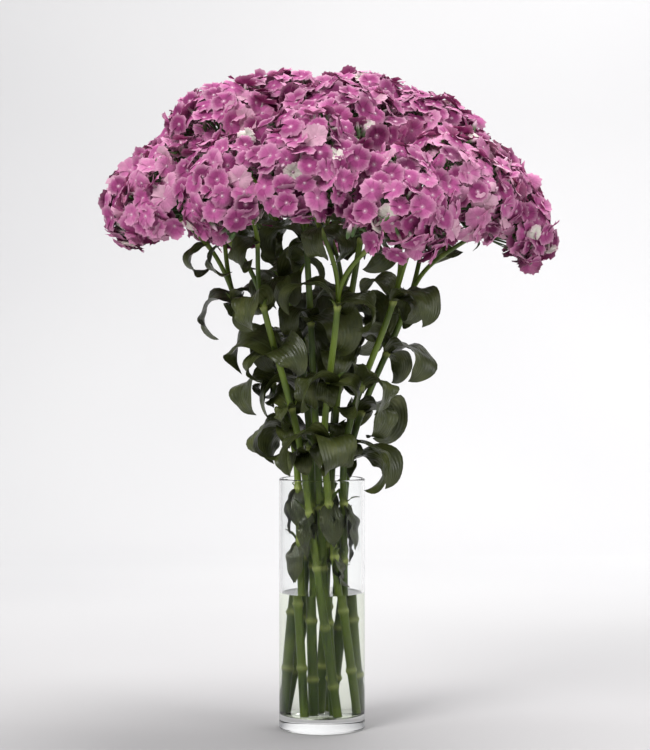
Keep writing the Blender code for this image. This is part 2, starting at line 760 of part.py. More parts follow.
def add_floret(points, faces, face, planes, head, rng):
    """Grows one floret out of a core face: a funnel from the face's three corners to a rim of five petals."""
    corners = np.array([points[k] for k in face])
    root = corners.mean(axis=0)
    axis = unit(root)
    level = unit(corners[0] - axis * np.dot(corners[0], axis))
    across = np.cross(axis, level)
    wedge = [(unit(np.cross(corners[k], corners[(k + 1) % 3])), CLEARANCE / 2) for k in range(3)]
    height = np.linalg.norm(root) / (CORE_SHARE * FACE_LEVEL) * rng.uniform(0.95, 1.04)
    rim = floret_outline(FLORET_SHARE * head["radius"] * rng.uniform(0.95, 1.04), rng.uniform(0, 72))
    first = len(points)
    for angle, radius, lift in rim:
        point = axis * (height + lift) + radius * (math.cos(angle) * level + math.sin(angle) * across)
        points.append(pulled_clear(point, root, wedge + planes))
    middle = len(points)
    points.append(pulled_clear(axis * (height - FLORET_CUP), root, planes))
    count = len(rim)
    nearest = [round(angle / math.radians(120)) for angle, _, _ in rim]
    for k in range(count):
        after = (k + 1) % count
        here, there = nearest[k], nearest[after] + (0 if after else 3)
        faces.append((middle, first + k, first + after))
        faces.append((first + k, face[here % 3], first + after))
        if there != here:
            faces.append((face[here % 3], face[there % 3], first + after))


def make_head(plan, number, others, material):
    """One flower head: florets in a single closed skin with the smaller core that they stand out of."""
    head = plan["heads"][number]
    rng = np.random.default_rng(SEED + 100 * (plan["index"] + 1) + number)
    points = list(core_points(head))
    planes = head_planes(head, others)
    upper, looking_up, looking_down, lowest = core_faces()
    flowering = upper + looking_up + (looking_down if head["is_outer"] else [])
    faces = list(lowest) + ([] if head["is_outer"] else list(looking_down))
    for face in flowering:
        add_floret(points, faces, face, planes, head, rng)
    name = f"head_{plan['index'] + 1:02d}{'ab'[number]}"
    return mesh_object(name, np.array(points) + head["middle"], faces, material)


def clear_scene():
    for obj in list(bpy.data.objects):
        bpy.data.objects.remove(obj)


def main():
    clear_scene()
    glass = plain_material("glass", 0.04, 0.35)
    water = plain_material("water", 0.02, 0.5)
    foliage = plain_material("foliage", 0.45)
    petal = plain_material("petal", 0.6)
    plans = plan_bunch()
    make_vase(glass)
    make_water(plans, water)
    heads = [head for plan in plans for head in plan["heads"]]
    for plan in plans:
        make_stem(plan, foliage)
        for number, head in enumerate(plan["heads"]):
            make_head(plan, number, [other for other in heads if other is not head], petal)


main()
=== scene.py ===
"""The look of a bunch of cut dianthus in a clear glass cylinder vase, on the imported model's frame.

Metres, +Z up, with the origin at the centre of the vase's underside and -Y towards the camera. The stems,
leaves and heads stand where the frame has them, so the bunch is planned as in the part, with the same seeds.
"""

import itertools
import math

import bpy
import numpy as np
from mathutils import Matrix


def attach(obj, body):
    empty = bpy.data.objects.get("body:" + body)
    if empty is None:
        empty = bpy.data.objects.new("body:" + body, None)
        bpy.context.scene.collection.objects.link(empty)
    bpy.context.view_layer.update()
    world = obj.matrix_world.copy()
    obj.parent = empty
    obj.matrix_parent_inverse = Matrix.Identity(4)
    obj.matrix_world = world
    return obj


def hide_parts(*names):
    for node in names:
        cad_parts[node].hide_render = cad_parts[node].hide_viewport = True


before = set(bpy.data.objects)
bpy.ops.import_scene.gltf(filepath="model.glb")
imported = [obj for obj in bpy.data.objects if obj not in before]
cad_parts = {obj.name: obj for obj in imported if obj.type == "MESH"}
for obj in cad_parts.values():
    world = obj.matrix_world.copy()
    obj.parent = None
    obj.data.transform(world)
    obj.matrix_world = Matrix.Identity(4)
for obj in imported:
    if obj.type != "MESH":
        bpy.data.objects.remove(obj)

# Vase and water.
VASE_RADIUS = 0.043
VASE_WALL = 0.003
VASE_HEIGHT = 0.250
VASE_FLOOR = 0.014
VASE_SIDES = 128
EDGE_ROUND = 0.0012
FLOOR_ROUND = 0.004
WATER_LEVEL = 0.136
WATER_OVERLAP = 0.0002
MENISCUS = 0.0006
CLEARANCE = 0.0004
GLASS_EDGE = 35.0

# The bunch, as it is in the part.
SPIRAL_TURN = 70.0
FOOT_REACH = {"inner": 0.0125, "outer": 0.0295}
MOUTH_REACH = {"inner": 0.0110, "outer": 0.0250}
STEM_FOOT_RADIUS = 0.0042
STEM_FORK_RADIUS = 0.0030
STEM_LEAN = {"inner": 0.20, "outer": 0.36}
STEM_BEND = 0.385
JOINT_SWELL = 1.30
JOINT_LENGTH = 0.0055
FIRST_JOINT = 0.040
JOINT_SPACING = 0.058
LAST_JOINT_ROOM = 0.035
LEAF_LENGTH = 0.084
LEAF_WIDTH = 0.038
LEAF_THICKNESS = 0.0012
LEAF_BASE = 0.20
LEAF_LOW_WIDTH = 0.82
LEAF_FULLNESS = 0.6
LEAF_TIP = 8
LEAF_START = 30.0
LEAF_CURL = 240.0
LEAF_EASE = 1.25
LEAF_TWIST = 75.0
LEAF_FOLD = 0.20
LEAF_CLASP = 0.016
LEAF_ROOM = 0.0028
LOWEST_LEAF = 0.170
SHOOT_SIZE = 0.68
TOP_LEAF_SIZE = 0.94
MOUTH_LEAF_SIZE = 0.70
MOUTH_LEAF_START = 132.0
MOUTH_LEAF_CURL = 46.0
MOUTH_LEAF_EASE = 0.35
MOUTH_LEAF_TWIST = 0.3
MOUTH_LEAF_CLASP = 0.030
MOUTH_LEAF_SPREAD = 0.55
BRANCH_LEAF_PLACE = 0.62
BRANCH_LEAF_LENGTH = 0.060
BRANCH_LEAF_WIDTH = 0.025
BRANCH_LEAF_START = 50.0
BRACT_LENGTH = 0.030
BRACT_WIDTH = 0.0032
BRACT_START = 55.0
BRACT_CURL = 120.0
OUTER_HEAD_RADIUS = 0.054
INNER_HEAD_RADIUS = 0.060
OUTER_HEAD_REACH = 0.15
HEAD_FLATNESS = 0.70
HEAD_LEAST_LEAN = 10.0
HEAD_LEAN_GAIN = 46.0
HEAD_FULL_REACH = 0.18
HEAD_LEAN_POWER = 1.4
CORE_SHARE = 0.60
RING_LEVEL = 1 / math.sqrt(5)
MIDDLE_BALL = 0.78
SIDE_BALL = 0.58
SIDE_BALL_REACH = 0.52
PEDICEL_LENGTH = 0.026
BRANCH_RADIUS = 0.0021
BRANCH_BEND = 0.4
SEED = 20
STEMS = (
    ("inner", 168, 0.046, 0.494, ((-166, 0.048, 0.606), (156, 0.114, 0.592))),
    ("inner", 30, 0.046, 0.494, ((12, 0.050, 0.608), (40, 0.120, 0.582))),
    ("inner", -108, 0.050, 0.486, ((-82, 0.098, 0.586), (-147, 0.112, 0.588))),
    ("outer", -80, 0.088, 0.425, ((-95, 0.170, 0.548), (-66, 0.176, 0.514))),
    ("outer", -32, 0.084, 0.430, ((-40, 0.172, 0.534), (-18, 0.116, 0.580))),
    ("outer", 12, 0.090, 0.430, ((-5, 0.182, 0.512), (23, 0.172, 0.552))),
    ("outer", 76, 0.084, 0.430, ((56, 0.174, 0.540), (96, 0.104, 0.592))),
    ("outer", 107, 0.090, 0.430, ((87, 0.172, 0.544), (121, 0.172, 0.542))),
    ("outer", 168, 0.090, 0.430, ((152, 0.168, 0.556), (-176, 0.170, 0.530))),
    ("outer", -131, 0.088, 0.425, ((-146, 0.168, 0.532), (-120, 0.168, 0.532))),
)

# Rings and points round of the stalks, and how soon a joint's swelling and its pale glow fade along a stem.
STALK_GRID = (200, 14)
BRANCH_GRID = (30, 10)
SWELL_FADE = 0.0026
GLOW_FADE = 0.012

# Fineness of the blades, in rows and columns, their waves, and the young blades at the joints.
LEAF_GRID = (24, 9)
SPROUT_GRID = (8, 5)
EDGE_WAVE = 0.18
PUCKER = 0.070
BLADE_EDGE = 70.0
SPROUTS = 2
SPROUT_LENGTH = 0.017

# Florets at their true size, much smaller and more than the part's.
FLORET_RADIUS = 0.0128
FLORET_SPACING = 0.0164
LOWEST_FLORET = {True: 112.0, False: 96.0}
LAYERS = ((1.00, 0.060, 1.0), (0.80, 0.04, 0.42))
GOLDEN_TURN = 137.508
CLOSE_PACKING = 0.866
FLAT_BALL_AREA = 0.85
HEAD_GAP = 0.005
FACING_SPREAD = 0.32
PETAL_STEPS = (0.0, 0.36, 0.74, 1.0)
PETAL_COLUMNS = 7
PETAL_HALF_ANGLE = 43.0
PETAL_THICKNESS = 0.0004
TOOTH = 0.13
CALYX_LENGTH = 0.016
CALYX_RADIUS = 0.0019
STALK_RADIUS = 0.0007
AWN_LENGTH = 0.017
AWN_RADIUS = 0.0007
AWNS = 2
CREAM_SHARE = 0.045
CREAM_SIZE = 0.78
BUDS = 9
BUD_LENGTH = 0.0165
BUD_BEND = 0.008
BUD_RADIUS = 0.0022
BUD_APART = 0.008

# What is added to the seed for the looks of the leaves, of the sprouts and of the heads.
LEAF_SEED = 500
SPROUT_SEED = 700
HEAD_SEED = 1000

# The photograph's camera, which looks down by the dip in degrees.
CAMERA = (0.003, -2.021, 0.385)
CAMERA_DIP = 0.907
LENS = 97.0

# The floor, the wall behind it with the bend between them, and the lights: name, place, aim, size and power.
FLOOR_GAP = 0.0003
FLOOR_FRONT = 3.2
FLOOR_SIDE = 4.0
WALL_BEHIND = 2.5
WALL_HEIGHT = 3.4
WALL_BEND = 0.9
LIGHTS = (
    ("key", (-1.3, -1.7, 2.0), (0.0, 0.0, 0.45), 1.2, 52.0),
    ("fill", (1.9, -1.2, 1.1), (0.0, 0.0, 0.40), 1.4, 18.0),
    ("top", (0.3, 0.3, 2.3), (0.0, 0.0, 0.5), 1.4, 34.0),
    ("wall", (1.0, 1.1, 2.7), (1.0, 2.4, 1.1), 1.6, 39.0),
)
SURROUND = (0.95, 0.96, 1.0, 1)
SURROUND_STRENGTH = 0.32


def unit(vector):
    return vector / np.linalg.norm(vector)


def polar(bearing, reach, height):
    """The point at a bearing in degrees, a reach from the vase's axis and a height."""
    angle = math.radians(bearing)
    return np.array([reach * math.cos(angle), reach * math.sin(angle), height])


def crossways(heading):
    """Two directions square to a heading and to each other, as a right-handed set with it."""
    level = unit(np.cross(heading, [0.0, 1.0, 0.02]))
    return level, np.cross(heading, level)


def bezier(start, out_of_start, into_end, end, count=24):
    """Points on the cubic curve through start and end with those two handles."""
    t = np.linspace(0, 1, count)[:, None]
    ends = (1 - t) ** 3 * start + 3 * (1 - t) ** 2 * t * out_of_start
    return ends + 3 * (1 - t) * t**2 * into_end + t**3 * end


class Path:
    """A smooth line that is read by the distance along it."""

    def __init__(self, points):
        self.points = np.asarray(points, float)
        steps = np.linalg.norm(np.diff(self.points, axis=0), axis=1)
        self.along = np.concatenate([[0.0], np.cumsum(steps)])
        self.length = self.along[-1]

    def at(self, distance):
        return np.array([np.interp(distance, self.along, self.points[:, k]) for k in range(3)])

    def heading(self, distance):
        reach = 0.004
        return unit(self.at(min(distance + reach, self.length)) - self.at(max(distance - reach, 0.0)))


def stem_path(ring, bearing, fork_reach, fork_height):
    """Straight from the foot to the vase's mouth, then bending outwards to the fork."""
    foot = polar(bearing + SPIRAL_TURN, FOOT_REACH[ring], VASE_FLOOR + CLEARANCE)
    mouth = polar(bearing, MOUTH_REACH[ring], VASE_HEIGHT)
    fork = polar(bearing, fork_reach, fork_height)
    rise = (fork_height - VASE_HEIGHT) * STEM_BEND
    lean = unit(polar(bearing, STEM_LEAN[ring], 1.0))
    bend = bezier(mouth, mouth + unit(mouth - foot) * rise, fork - lean * rise, fork, 30)
    return Path(np.vstack([foot + (mouth - foot) * s for s in np.linspace(0, 0.95, 20)] + [bend]))


def head_axis(bearing, reach):
    """A head leans outwards, and the more the further out it is."""
    lean = math.radians(HEAD_LEAST_LEAN + HEAD_LEAN_GAIN * (reach / HEAD_FULL_REACH) ** HEAD_LEAN_POWER)
    return polar(bearing, math.sin(lean), math.cos(lean))


def joint_distances(path, rng):
    """Places of the swollen joints along a stem; the last is just under the fork."""
    found = []
    place = FIRST_JOINT + rng.uniform(-0.010, 0.012)
    while place < path.length - LAST_JOINT_ROOM:
        found.append(place)
        place += JOINT_SPACING * rng.uniform(0.9, 1.12)
    return [*found, path.length - JOINT_LENGTH]


def plan_head(spot, fork, lean, rng):
    """The places of one head, of the branch that carries it and of its pedicels' feet."""
    bearing, reach, height = spot
    axis = head_axis(bearing, reach)
    middle = polar(bearing, reach, height)
    is_outer = reach > OUTER_HEAD_REACH
    radius = (OUTER_HEAD_RADIUS if is_outer else INNER_HEAD_RADIUS) * rng.uniform(0.96, 1.05)
    underside = RING_LEVEL * CORE_SHARE * HEAD_FLATNESS * radius
    receptacle = middle - axis * (underside + PEDICEL_LENGTH)
    span = np.linalg.norm(receptacle - fork) * BRANCH_BEND
    return {
        "middle": middle,
        "axis": axis,
        "radius": radius,
        "receptacle": receptacle,
        "branch": Path(bezier(fork, fork + lean * span, receptacle - axis * span, receptacle)),
        "spin": rng.uniform(0, 72),
        "is_outer": is_outer,
        "leaves": [],
    }


def plan_stem(index, row):
    ring, bearing, fork_reach, fork_height, spots = row
    rng = np.random.default_rng(SEED + index)
    path = stem_path(ring, bearing, fork_reach, fork_height)
    joints = joint_distances(path, rng)
    turns = 90.0 * np.arange(len(joints)) + rng.uniform(-40, 40, len(joints))
    lean = path.heading(path.length)
    heads = [plan_head(spot, path.points[-1], lean, rng) for spot in spots]
    return {
        "index": index,
        "path": path,
        "joints": joints,
        "turns": turns,
        "heads": heads,
        "leaves": [],
        "rng": rng,
    }


def leaf_frames(leaf, stations):
    """Rib points, sideways and upper-side directions, and half widths of a leaf at even steps along it.

    The rib leaves the stem at the start angle and turns towards the ground by the curl times s to the ease,
    while the blade rolls about it by the twist.
    """
    s = np.linspace(0, 1, 41)
    angle = np.radians(leaf["start"] + leaf["curl"] * s ** leaf["ease"])
    along = np.cos(angle)[:, None] * leaf["up"] + np.sin(angle)[:, None] * leaf["out"]
    steps = (along[1:] + along[:-1]) / 2 * leaf["length"] / 40
    rib = leaf["root"] + np.vstack([np.zeros(3), np.cumsum(steps, axis=0)])
    level = np.cross(leaf["up"], leaf["out"])
    top = np.sin(angle)[:, None] * leaf["up"] - np.cos(angle)[:, None] * leaf["out"]
    roll = np.radians(leaf["twist"] * s)[:, None]
    side = np.cos(roll) * level + np.sin(roll) * top
    normal = np.cos(roll) * top - np.sin(roll) * level
    full = np.sin(math.pi * s**LEAF_LOW_WIDTH) ** LEAF_FULLNESS
    half = leaf["width"] / 2 * (LEAF_BASE + (1 - LEAF_BASE) * full) * (1 - s**LEAF_TIP)
    pick = np.linspace(0, 40, stations)
    columns = [np.interp(pick, np.arange(41), column) for column in (*rib.T, *side.T, *normal.T, half)]
    rib, side, normal = (np.stack(columns[k : k + 3], axis=1) for k in (0, 3, 6))
    return rib, side, normal, columns[9]


def leaf_samples(leaf):
    """Points all over a leaf, close enough together to stand for it."""
    rib, side, normal, half = (column[1:] for column in leaf_frames(leaf, 17))
    half = half[:, None]
    shares = (-1, -0.66, -0.33, 0, 0.33, 0.66, 1)
    return np.vstack([rib + (side * share + normal * LEAF_FOLD * abs(share)) * half for share in shares])


def bract(head, k):
    """A narrow pointed bract at the top of a branch, that curls away under the head."""
    level, across = crossways(head["axis"])
    angle = math.radians(head["spin"] + 180 * k)
    return {
        "root": head["receptacle"] - head["axis"] * 0.002,
        "up": head["axis"],
        "out": math.cos(angle) * level + math.sin(angle) * across,
        "length": BRACT_LENGTH,
        "width": BRACT_WIDTH,
        "start": BRACT_START,
        "curl": BRACT_CURL,
        "ease": LEAF_EASE,
        "twist": 0.0,
    }


def tube_balls(path, radius, owner, step=0.004):
    places = np.arange(0, path.length, step)
    return np.array([[*path.at(d), radius, owner] for d in places])


def head_balls(head):
    """Balls that fill a head: one in its middle and six round it."""
    level, across = crossways(head["axis"])
    reach = head["radius"]
    balls = [[*(head["middle"] + head["axis"] * 0.004), reach * MIDDLE_BALL, -1]]
    for turn in np.linspace(0, 2 * np.pi, 7)[:6]:
        out = (math.cos(turn) * level + math.sin(turn) * across) * reach * SIDE_BALL_REACH
        balls.append([*(head["middle"] + out), reach * SIDE_BALL, -1])
    return np.array(balls)


def fixed_obstacles(plans):
    """Balls (x, y, z, radius, owner) that stand for the stems, branches, pedicels and heads."""
    balls = []
    for plan in plans:
        owner = plan["index"]
        balls.append(tube_balls(plan["path"], STEM_FOOT_RADIUS * 1.2, owner))
        for head in plan["heads"]:
            foot, axis = head["receptacle"], head["axis"]
            balls.append(tube_balls(head["branch"], BRANCH_RADIUS * 1.4, owner))
            for share in (0.2, 0.5, 0.8):
                spread = 0.004 + head["radius"] * CORE_SHARE * 0.5 * share
                balls.append(np.array([[*(foot + axis * PEDICEL_LENGTH * share), spread, owner]]))
            balls.append(head_balls(head))
            for k in range(2):
                points = leaf_samples(bract(head, k))
                balls.append(np.column_stack([points, np.full((len(points), 2), [0.001, owner])]))
    return np.vstack(balls)


def hits_vase(points):
    """True if any point is in the vase's wall or in the water, or too near them."""
    reach = np.hypot(points[:, 0], points[:, 1])
    low = points[:, 2] < VASE_HEIGHT + 0.003
    near = (reach > VASE_RADIUS - VASE_WALL - 0.002) & (reach < VASE_RADIUS + 0.003)
    wet = points[:, 2] < WATER_LEVEL + 0.004
    inside = reach < VASE_RADIUS
    return bool((low & near).any() or (wet & inside).any())


def is_clear(leaf, points, balls, owner):
    """True if a leaf keeps LEAF_ROOM from everything, apart from what its own stem grows near its root."""
    if hits_vase(points):
        return False
    places, radii = balls[:, :3] - leaf["root"], balls[:, 3]
    local = points - leaf["root"]
    square = (local**2).sum(axis=1)[:, None] + (places**2).sum(axis=1) - 2 * local @ places.T
    room = square - (radii + LEAF_ROOM) ** 2
    near_root = np.linalg.norm(local, axis=1) < leaf["clasp"]
    room[np.ix_(near_root, balls[:, 4] == owner)] = 1.0
    return bool((room > 0).all())


def place_leaf(wish, turn, owner, balls):
    """Tries the leaf as it would grow, then turned, bent or steeper, then smaller, till one is clear."""
    level, across = crossways(wish["up"])
    apart = np.linalg.norm(balls[:, :3] - wish["root"], axis=1) - balls[:, 3]
    near = balls[apart < wish["length"] * 0.8]
    turns = (0, 18, -18, 36, -36, 54, -54, 72, -72)
    tries = itertools.product((1.0, 0.86, 0.72, 0.60, 0.48), (0, -22, 25), (0, 45, -60), turns)
    for size, steeper, bend, aside in tries:
        angle = math.radians(turn + aside)
        leaf = dict(wish)
        leaf["out"] = math.cos(angle) * level + math.sin(angle) * across
        leaf["length"] = wish["length"] * size
        leaf["width"] = wish["width"] * (0.4 + 0.6 * size)
        leaf["start"] = wish["start"] + steeper
        leaf["curl"] = wish["curl"] + bend
        points = leaf_samples(leaf)
        if is_clear(leaf, points[::6], near, owner) and is_clear(leaf, points, near, owner):
            return leaf, np.column_stack([points, np.full((len(points), 2), [0.001, owner])])
    return None, np.empty((0, 5))


def is_in_mouth(plan, level):
    return plan["path"].at(plan["joints"][level])[2] < VASE_HEIGHT


def joint_leaf(plan, level, size, draw):
    """The leaf a joint grows if nothing is in its way. In the vase's mouth it hangs down by the glass."""
    path, place = plan["path"], plan["joints"][level]
    share = size * (TOP_LEAF_SIZE if place > path.length - 0.02 else 1.0)
    leaf = {
        "root": path.at(place),
        "up": path.heading(place),
        "length": LEAF_LENGTH * share * (1 + 0.12 * draw[0]),
        "width": LEAF_WIDTH * share * (1 + 0.10 * draw[1]),
        "start": LEAF_START + 10 * draw[2],
        "curl": LEAF_CURL + 60 * draw[3],
        "ease": LEAF_EASE,
        "twist": LEAF_TWIST * draw[4],
        "clasp": LEAF_CLASP,
    }
    if is_in_mouth(plan, level):
        leaf["length"] *= MOUTH_LEAF_SIZE
        leaf["width"] *= MOUTH_LEAF_SIZE
        leaf["start"] = MOUTH_LEAF_START
        leaf["curl"] = MOUTH_LEAF_CURL
        leaf["ease"] = MOUTH_LEAF_EASE
        leaf["twist"] *= MOUTH_LEAF_TWIST
        leaf["clasp"] = MOUTH_LEAF_CLASP
    return leaf


def leaf_turn(plan, level, turn, wish):
    """The way a joint's leaf faces, in degrees. In the mouth the pair is aslant of the way to the glass."""
    if not is_in_mouth(plan, level):
        return plan["turns"][level] + turn
    level_way, across = crossways(wish["up"])
    outward = np.array([wish["root"][0], wish["root"][1], 0.0])
    facing = math.degrees(math.atan2(np.dot(outward, across), np.dot(outward, level_way)))
    return facing + (turn - 90) * MOUTH_LEAF_SPREAD


def branch_leaf(head, draw):
    """The small single leaf that a branch grows under its head."""
    place = head["branch"].length * BRANCH_LEAF_PLACE
    return {
        "root": head["branch"].at(place),
        "up": head["branch"].heading(place),
        "length": BRANCH_LEAF_LENGTH * (1 + 0.1 * draw[1]),
        "width": BRANCH_LEAF_WIDTH,
        "start": BRANCH_LEAF_START,
        "curl": LEAF_CURL + 30 * draw[2],
        "ease": LEAF_EASE,
        "twist": LEAF_TWIST * draw[0],
        "clasp": LEAF_CLASP,
    }


def grow_leaves(plans):
    """Grows an opposite pair at each leafy joint, a shoot at each above the vase, and a leaf a branch."""
    balls = fixed_obstacles(plans)
    highest = max(len(plan["joints"]) for plan in plans)
    for size, lowest, turns in ((1.0, LOWEST_LEAF, (0, 180)), (SHOOT_SIZE, VASE_HEIGHT, (90,))):
        for level, plan in itertools.product(range(highest), plans):
            if level >= len(plan["joints"]) or plan["path"].at(plan["joints"][level])[2] < lowest:
                continue
            for turn in turns:
                wish = joint_leaf(plan, level, size, plan["rng"].uniform(-1, 1, 5))
                leaf, taken = place_leaf(wish, leaf_turn(plan, level, turn, wish), plan["index"], balls)
                if leaf:
                    plan["leaves"].append(leaf)
                    balls = np.vstack([balls, taken])
    for plan in plans:
        for head in plan["heads"]:
            draw = plan["rng"].uniform(-1, 1, 3)
            leaf, taken = place_leaf(branch_leaf(head, draw), 180 * draw[0], plan["index"], balls)
            if leaf:
                head["leaves"].append(leaf)
                balls = np.vstack([balls, taken])


def plan_bunch():
    plans = [plan_stem(index, row) for index, row in enumerate(STEMS)]
    grow_leaves(plans)
    return plans


def grid_faces(rows, columns, is_round=False):
    """Corner numbers of the quads of a grid of points; a round grid's last column joins its first."""
    row = np.arange(rows - 1)[:, None] * columns
    column = np.arange(columns if is_round else columns - 1)[None, :]
    after = (column + 1) % columns
    corners = (row + column, row + after, row + columns + after, row + columns + column)
    return np.stack(corners, axis=-1).reshape(-1, 4)


def repeated(faces, count, size):
    """The same faces for each of count copies that have size points each."""
    return (faces[None] + (np.arange(count) * size)[:, None, None]).reshape(-1, faces.shape[1])


def blade_faces(rows, columns):
    """Quads of a thin closed blade: an upper grid, and an under grid that shares the upper one's rim."""
    inner = (rows - 2, columns - 2)
    upper = np.arange(rows * columns).reshape(rows, columns)
    under = upper.copy()
    under[1:-1, 1:-1] = rows * columns + np.arange(inner[0] * inner[1]).reshape(inner)
    top = grid_faces(rows, columns)
    return np.vstack([top, under.ravel()[top][:, ::-1]])


def blade_points(upper, thickness):
    """Points of thin closed blades, from upper grids (count, rows, columns, 3) and a push of the inside."""
    count = len(upper)
    inner = (upper - thickness)[:, 1:-1, 1:-1]
    return np.concatenate([upper.reshape(count, -1, 3), inner.reshape(count, -1, 3)], axis=1).reshape(-1, 3)


def blade_values(values):
    """A value for each point of blade_points, from its values on the upper grids."""
    count = len(values)
    inner = values[:, 1:-1, 1:-1]
    return np.concatenate([values.reshape(count, -1), inner.reshape(count, -1)], axis=1).ravel()


def square_to(heading, mean):
    """Unit vectors square to many headings at once, worked out from an axis far from the headings' mean."""
    axis = np.where(np.abs(mean[..., 1:2]) > 0.75, [1.0, 0.0, 0.1], [0.05, 1.0, 0.02])
    level = np.cross(heading, axis)
    return level / np.linalg.norm(level, axis=-1, keepdims=True)


def tube_points(lines, radii, sides):
    """Rings of points round many lines at once (count, stations, 3), each ring square to its line."""
    heading = np.gradient(lines, axis=1)
    heading /= np.linalg.norm(heading, axis=2, keepdims=True)
    level = square_to(heading, heading.mean(axis=1, keepdims=True))
    other = np.cross(heading, level)
    turn = np.linspace(0, 2 * np.pi, sides, endpoint=False)[:, None]
    ring = np.cos(turn) * level[:, :, None] + np.sin(turn) * other[:, :, None]
    return (lines[:, :, None] + ring * radii[:, :, None, None]).reshape(-1, 3)


def tube_faces(count, stations, sides):
    """Sides and two end caps of count tubes."""
    size = stations * sides
    sleeve = repeated(grid_faces(stations, sides, True), count, size)
    first = repeated(np.arange(sides)[::-1][None], count, size)
    last = repeated((size - sides + np.arange(sides))[None], count, size)
    return [sleeve, first, last]


def piece(name, points, faces, material, nodes, values=None, uv=None):
    """A smooth piece that stands for CAD nodes, with named values and a UV map given point by point."""
    mesh = bpy.data.meshes.new(name)
    corners = np.concatenate([group.ravel() for group in faces]).astype(np.int32)
    sizes = np.concatenate([np.full(len(group), group.shape[1]) for group in faces])
    mesh.vertices.add(len(points))
    mesh.vertices.foreach_set("co", np.asarray(points, np.float32).ravel())
    mesh.loops.add(len(corners))
    mesh.loops.foreach_set("vertex_index", corners)
    mesh.polygons.add(len(sizes))
    mesh.polygons.foreach_set("loop_start", np.concatenate([[0], np.cumsum(sizes)[:-1]]).astype(np.int32))
    if uv is not None:
        layer = mesh.uv_layers.new(name="UVMap")
        layer.data.foreach_set("uv", np.asarray(uv, np.float32)[corners].ravel())
    for key, column in (values or {}).items():
        attribute = mesh.attributes.new(key, "FLOAT", "POINT")
        attribute.data.foreach_set("value", np.asarray(column, np.float32))
    mesh.update(calc_edges=True)
    mesh.validate()
    mesh.shade_smooth()
    mesh.materials.append(material)
    obj = bpy.data.objects.new(name, mesh)
    bpy.context.scene.collection.objects.link(obj)
    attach(obj, "root")
    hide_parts(*nodes)
    return obj


def new_material(name, **sockets):
    material = bpy.data.materials.new(name)
    material.use_nodes = True
    shader = material.node_tree.nodes["Principled BSDF"]
    for key, value in sockets.items():
        shader.inputs[key.replace("_", " ")].default_value = value
    return material, material.node_tree, shader


def node(tree, kind, inputs=None, **settings):
    """A shader node whose inputs are given by number or name, as values or as other nodes' outputs."""
    made = tree.nodes.new("ShaderNode" + kind)
    for key, value in settings.items():
        setattr(made, key, value)
    for key, value in (inputs or {}).items():
        if isinstance(value, bpy.types.NodeSocket):
            tree.links.new(value, made.inputs[key])
        else:
            made.inputs[key].default_value = value
    return made


def maths(tree, operation, first, second=0.0):
    return node(tree, "Math", {0: first, 1: second}, operation=operation).outputs[0]


def blended(tree, share, first, second, blend_type="MIX"):
    mixed = node(tree, "Mix", {0: share, 6: first, 7: second}, data_type="RGBA", blend_type=blend_type)
    return mixed.outputs[2]


def ramp(tree, value, stops):
    """A colour ramp with stops of (place, colour)."""
    made = node(tree, "ValToRGB", {0: value})
    elements = made.color_ramp.elements
    while len(elements) < len(stops):
        elements.new(0.5)
    for element, (place, colour) in zip(elements, stops):
        element.position = place
        element.color = (*colour, 1.0)
    return made.outputs[0]


def attribute(tree, name):
    return node(tree, "Attribute", attribute_name=name).outputs["Fac"]


def blade_place(tree):
    """The places across and along a blade, each from 0 to 1, from its UV map."""
    split = node(tree, "SeparateXYZ", {0: node(tree, "UVMap", uv_map="UVMap").outputs[0]}).outputs
    return split[0], split[1]


def own_place(tree):
    return node(tree, "TexCoord").outputs["Object"]


def noise(tree, place, scale, detail=2.0):
    return node(tree, "TexNoise", {"Vector": place, "Scale": scale, "Detail": detail}).outputs["Fac"]


def scaled(tree, value, gain, start):
    """A value times a gain, plus a start."""
    return maths(tree, "ADD", maths(tree, "MULTIPLY", value, gain), start)


def stripes(tree, across, density):
    """A sine across a blade, whose crests are its long veins."""
    return maths(tree, "SINE", maths(tree, "MULTIPLY", across, density))


def add_relief(tree, shader, height, strength, distance):
    bump = node(tree, "Bump", {"Strength": strength, "Distance": distance, "Height": height})
    tree.links.new(bump.outputs[0], shader.inputs["Normal"])


def petal_material():
    """Pink petals, each floret in its own tint, with veins along them, paler at the eye and the teeth."""
    material, tree, shader = new_material("petal_pink", Roughness=0.66, Specular_IOR_Level=0.22)
    across, along = blade_place(tree)
    tints = [
        (0.0, (0.17, 0.019, 0.092)),
        (0.30, (0.32, 0.046, 0.182)),
        (0.60, (0.47, 0.104, 0.292)),
        (0.88, (0.63, 0.28, 0.44)),
        (0.97, (0.74, 0.70, 0.62)),
    ]
    body = ramp(tree, attribute(tree, "tint"), tints)
    fan = stripes(tree, across, 34.0)
    fading = maths(tree, "SUBTRACT", 1.0, along)
    lines = maths(tree, "MULTIPLY", maths(tree, "GREATER_THAN", fan, 0.55), fading)
    deep = blended(tree, 0.5, body, (0.30, 0.03, 0.18, 1), "MULTIPLY")
    veined = blended(tree, maths(tree, "MULTIPLY", lines, 0.30), body, deep)
    pale = [(0.0, (0.70,) * 3), (0.20, (0.0,) * 3), (0.55, (0.0,) * 3), (1.0, (0.62,) * 3)]
    edge = ramp(tree, along, pale)
    paled = blended(tree, edge, veined, (0.69, 0.37, 0.51, 1))
    shade = scaled(tree, noise(tree, own_place(tree), 190.0, 3.0), 0.60, 0.68)
    grey = node(tree, "CombineColor", {0: shade, 1: shade, 2: shade}).outputs[0]
    final = blended(tree, 1.0, paled, grey, "MULTIPLY")
    tree.links.new(final, shader.inputs["Base Color"])
    add_relief(tree, shader, fan, 0.25, 0.0003)
    return material


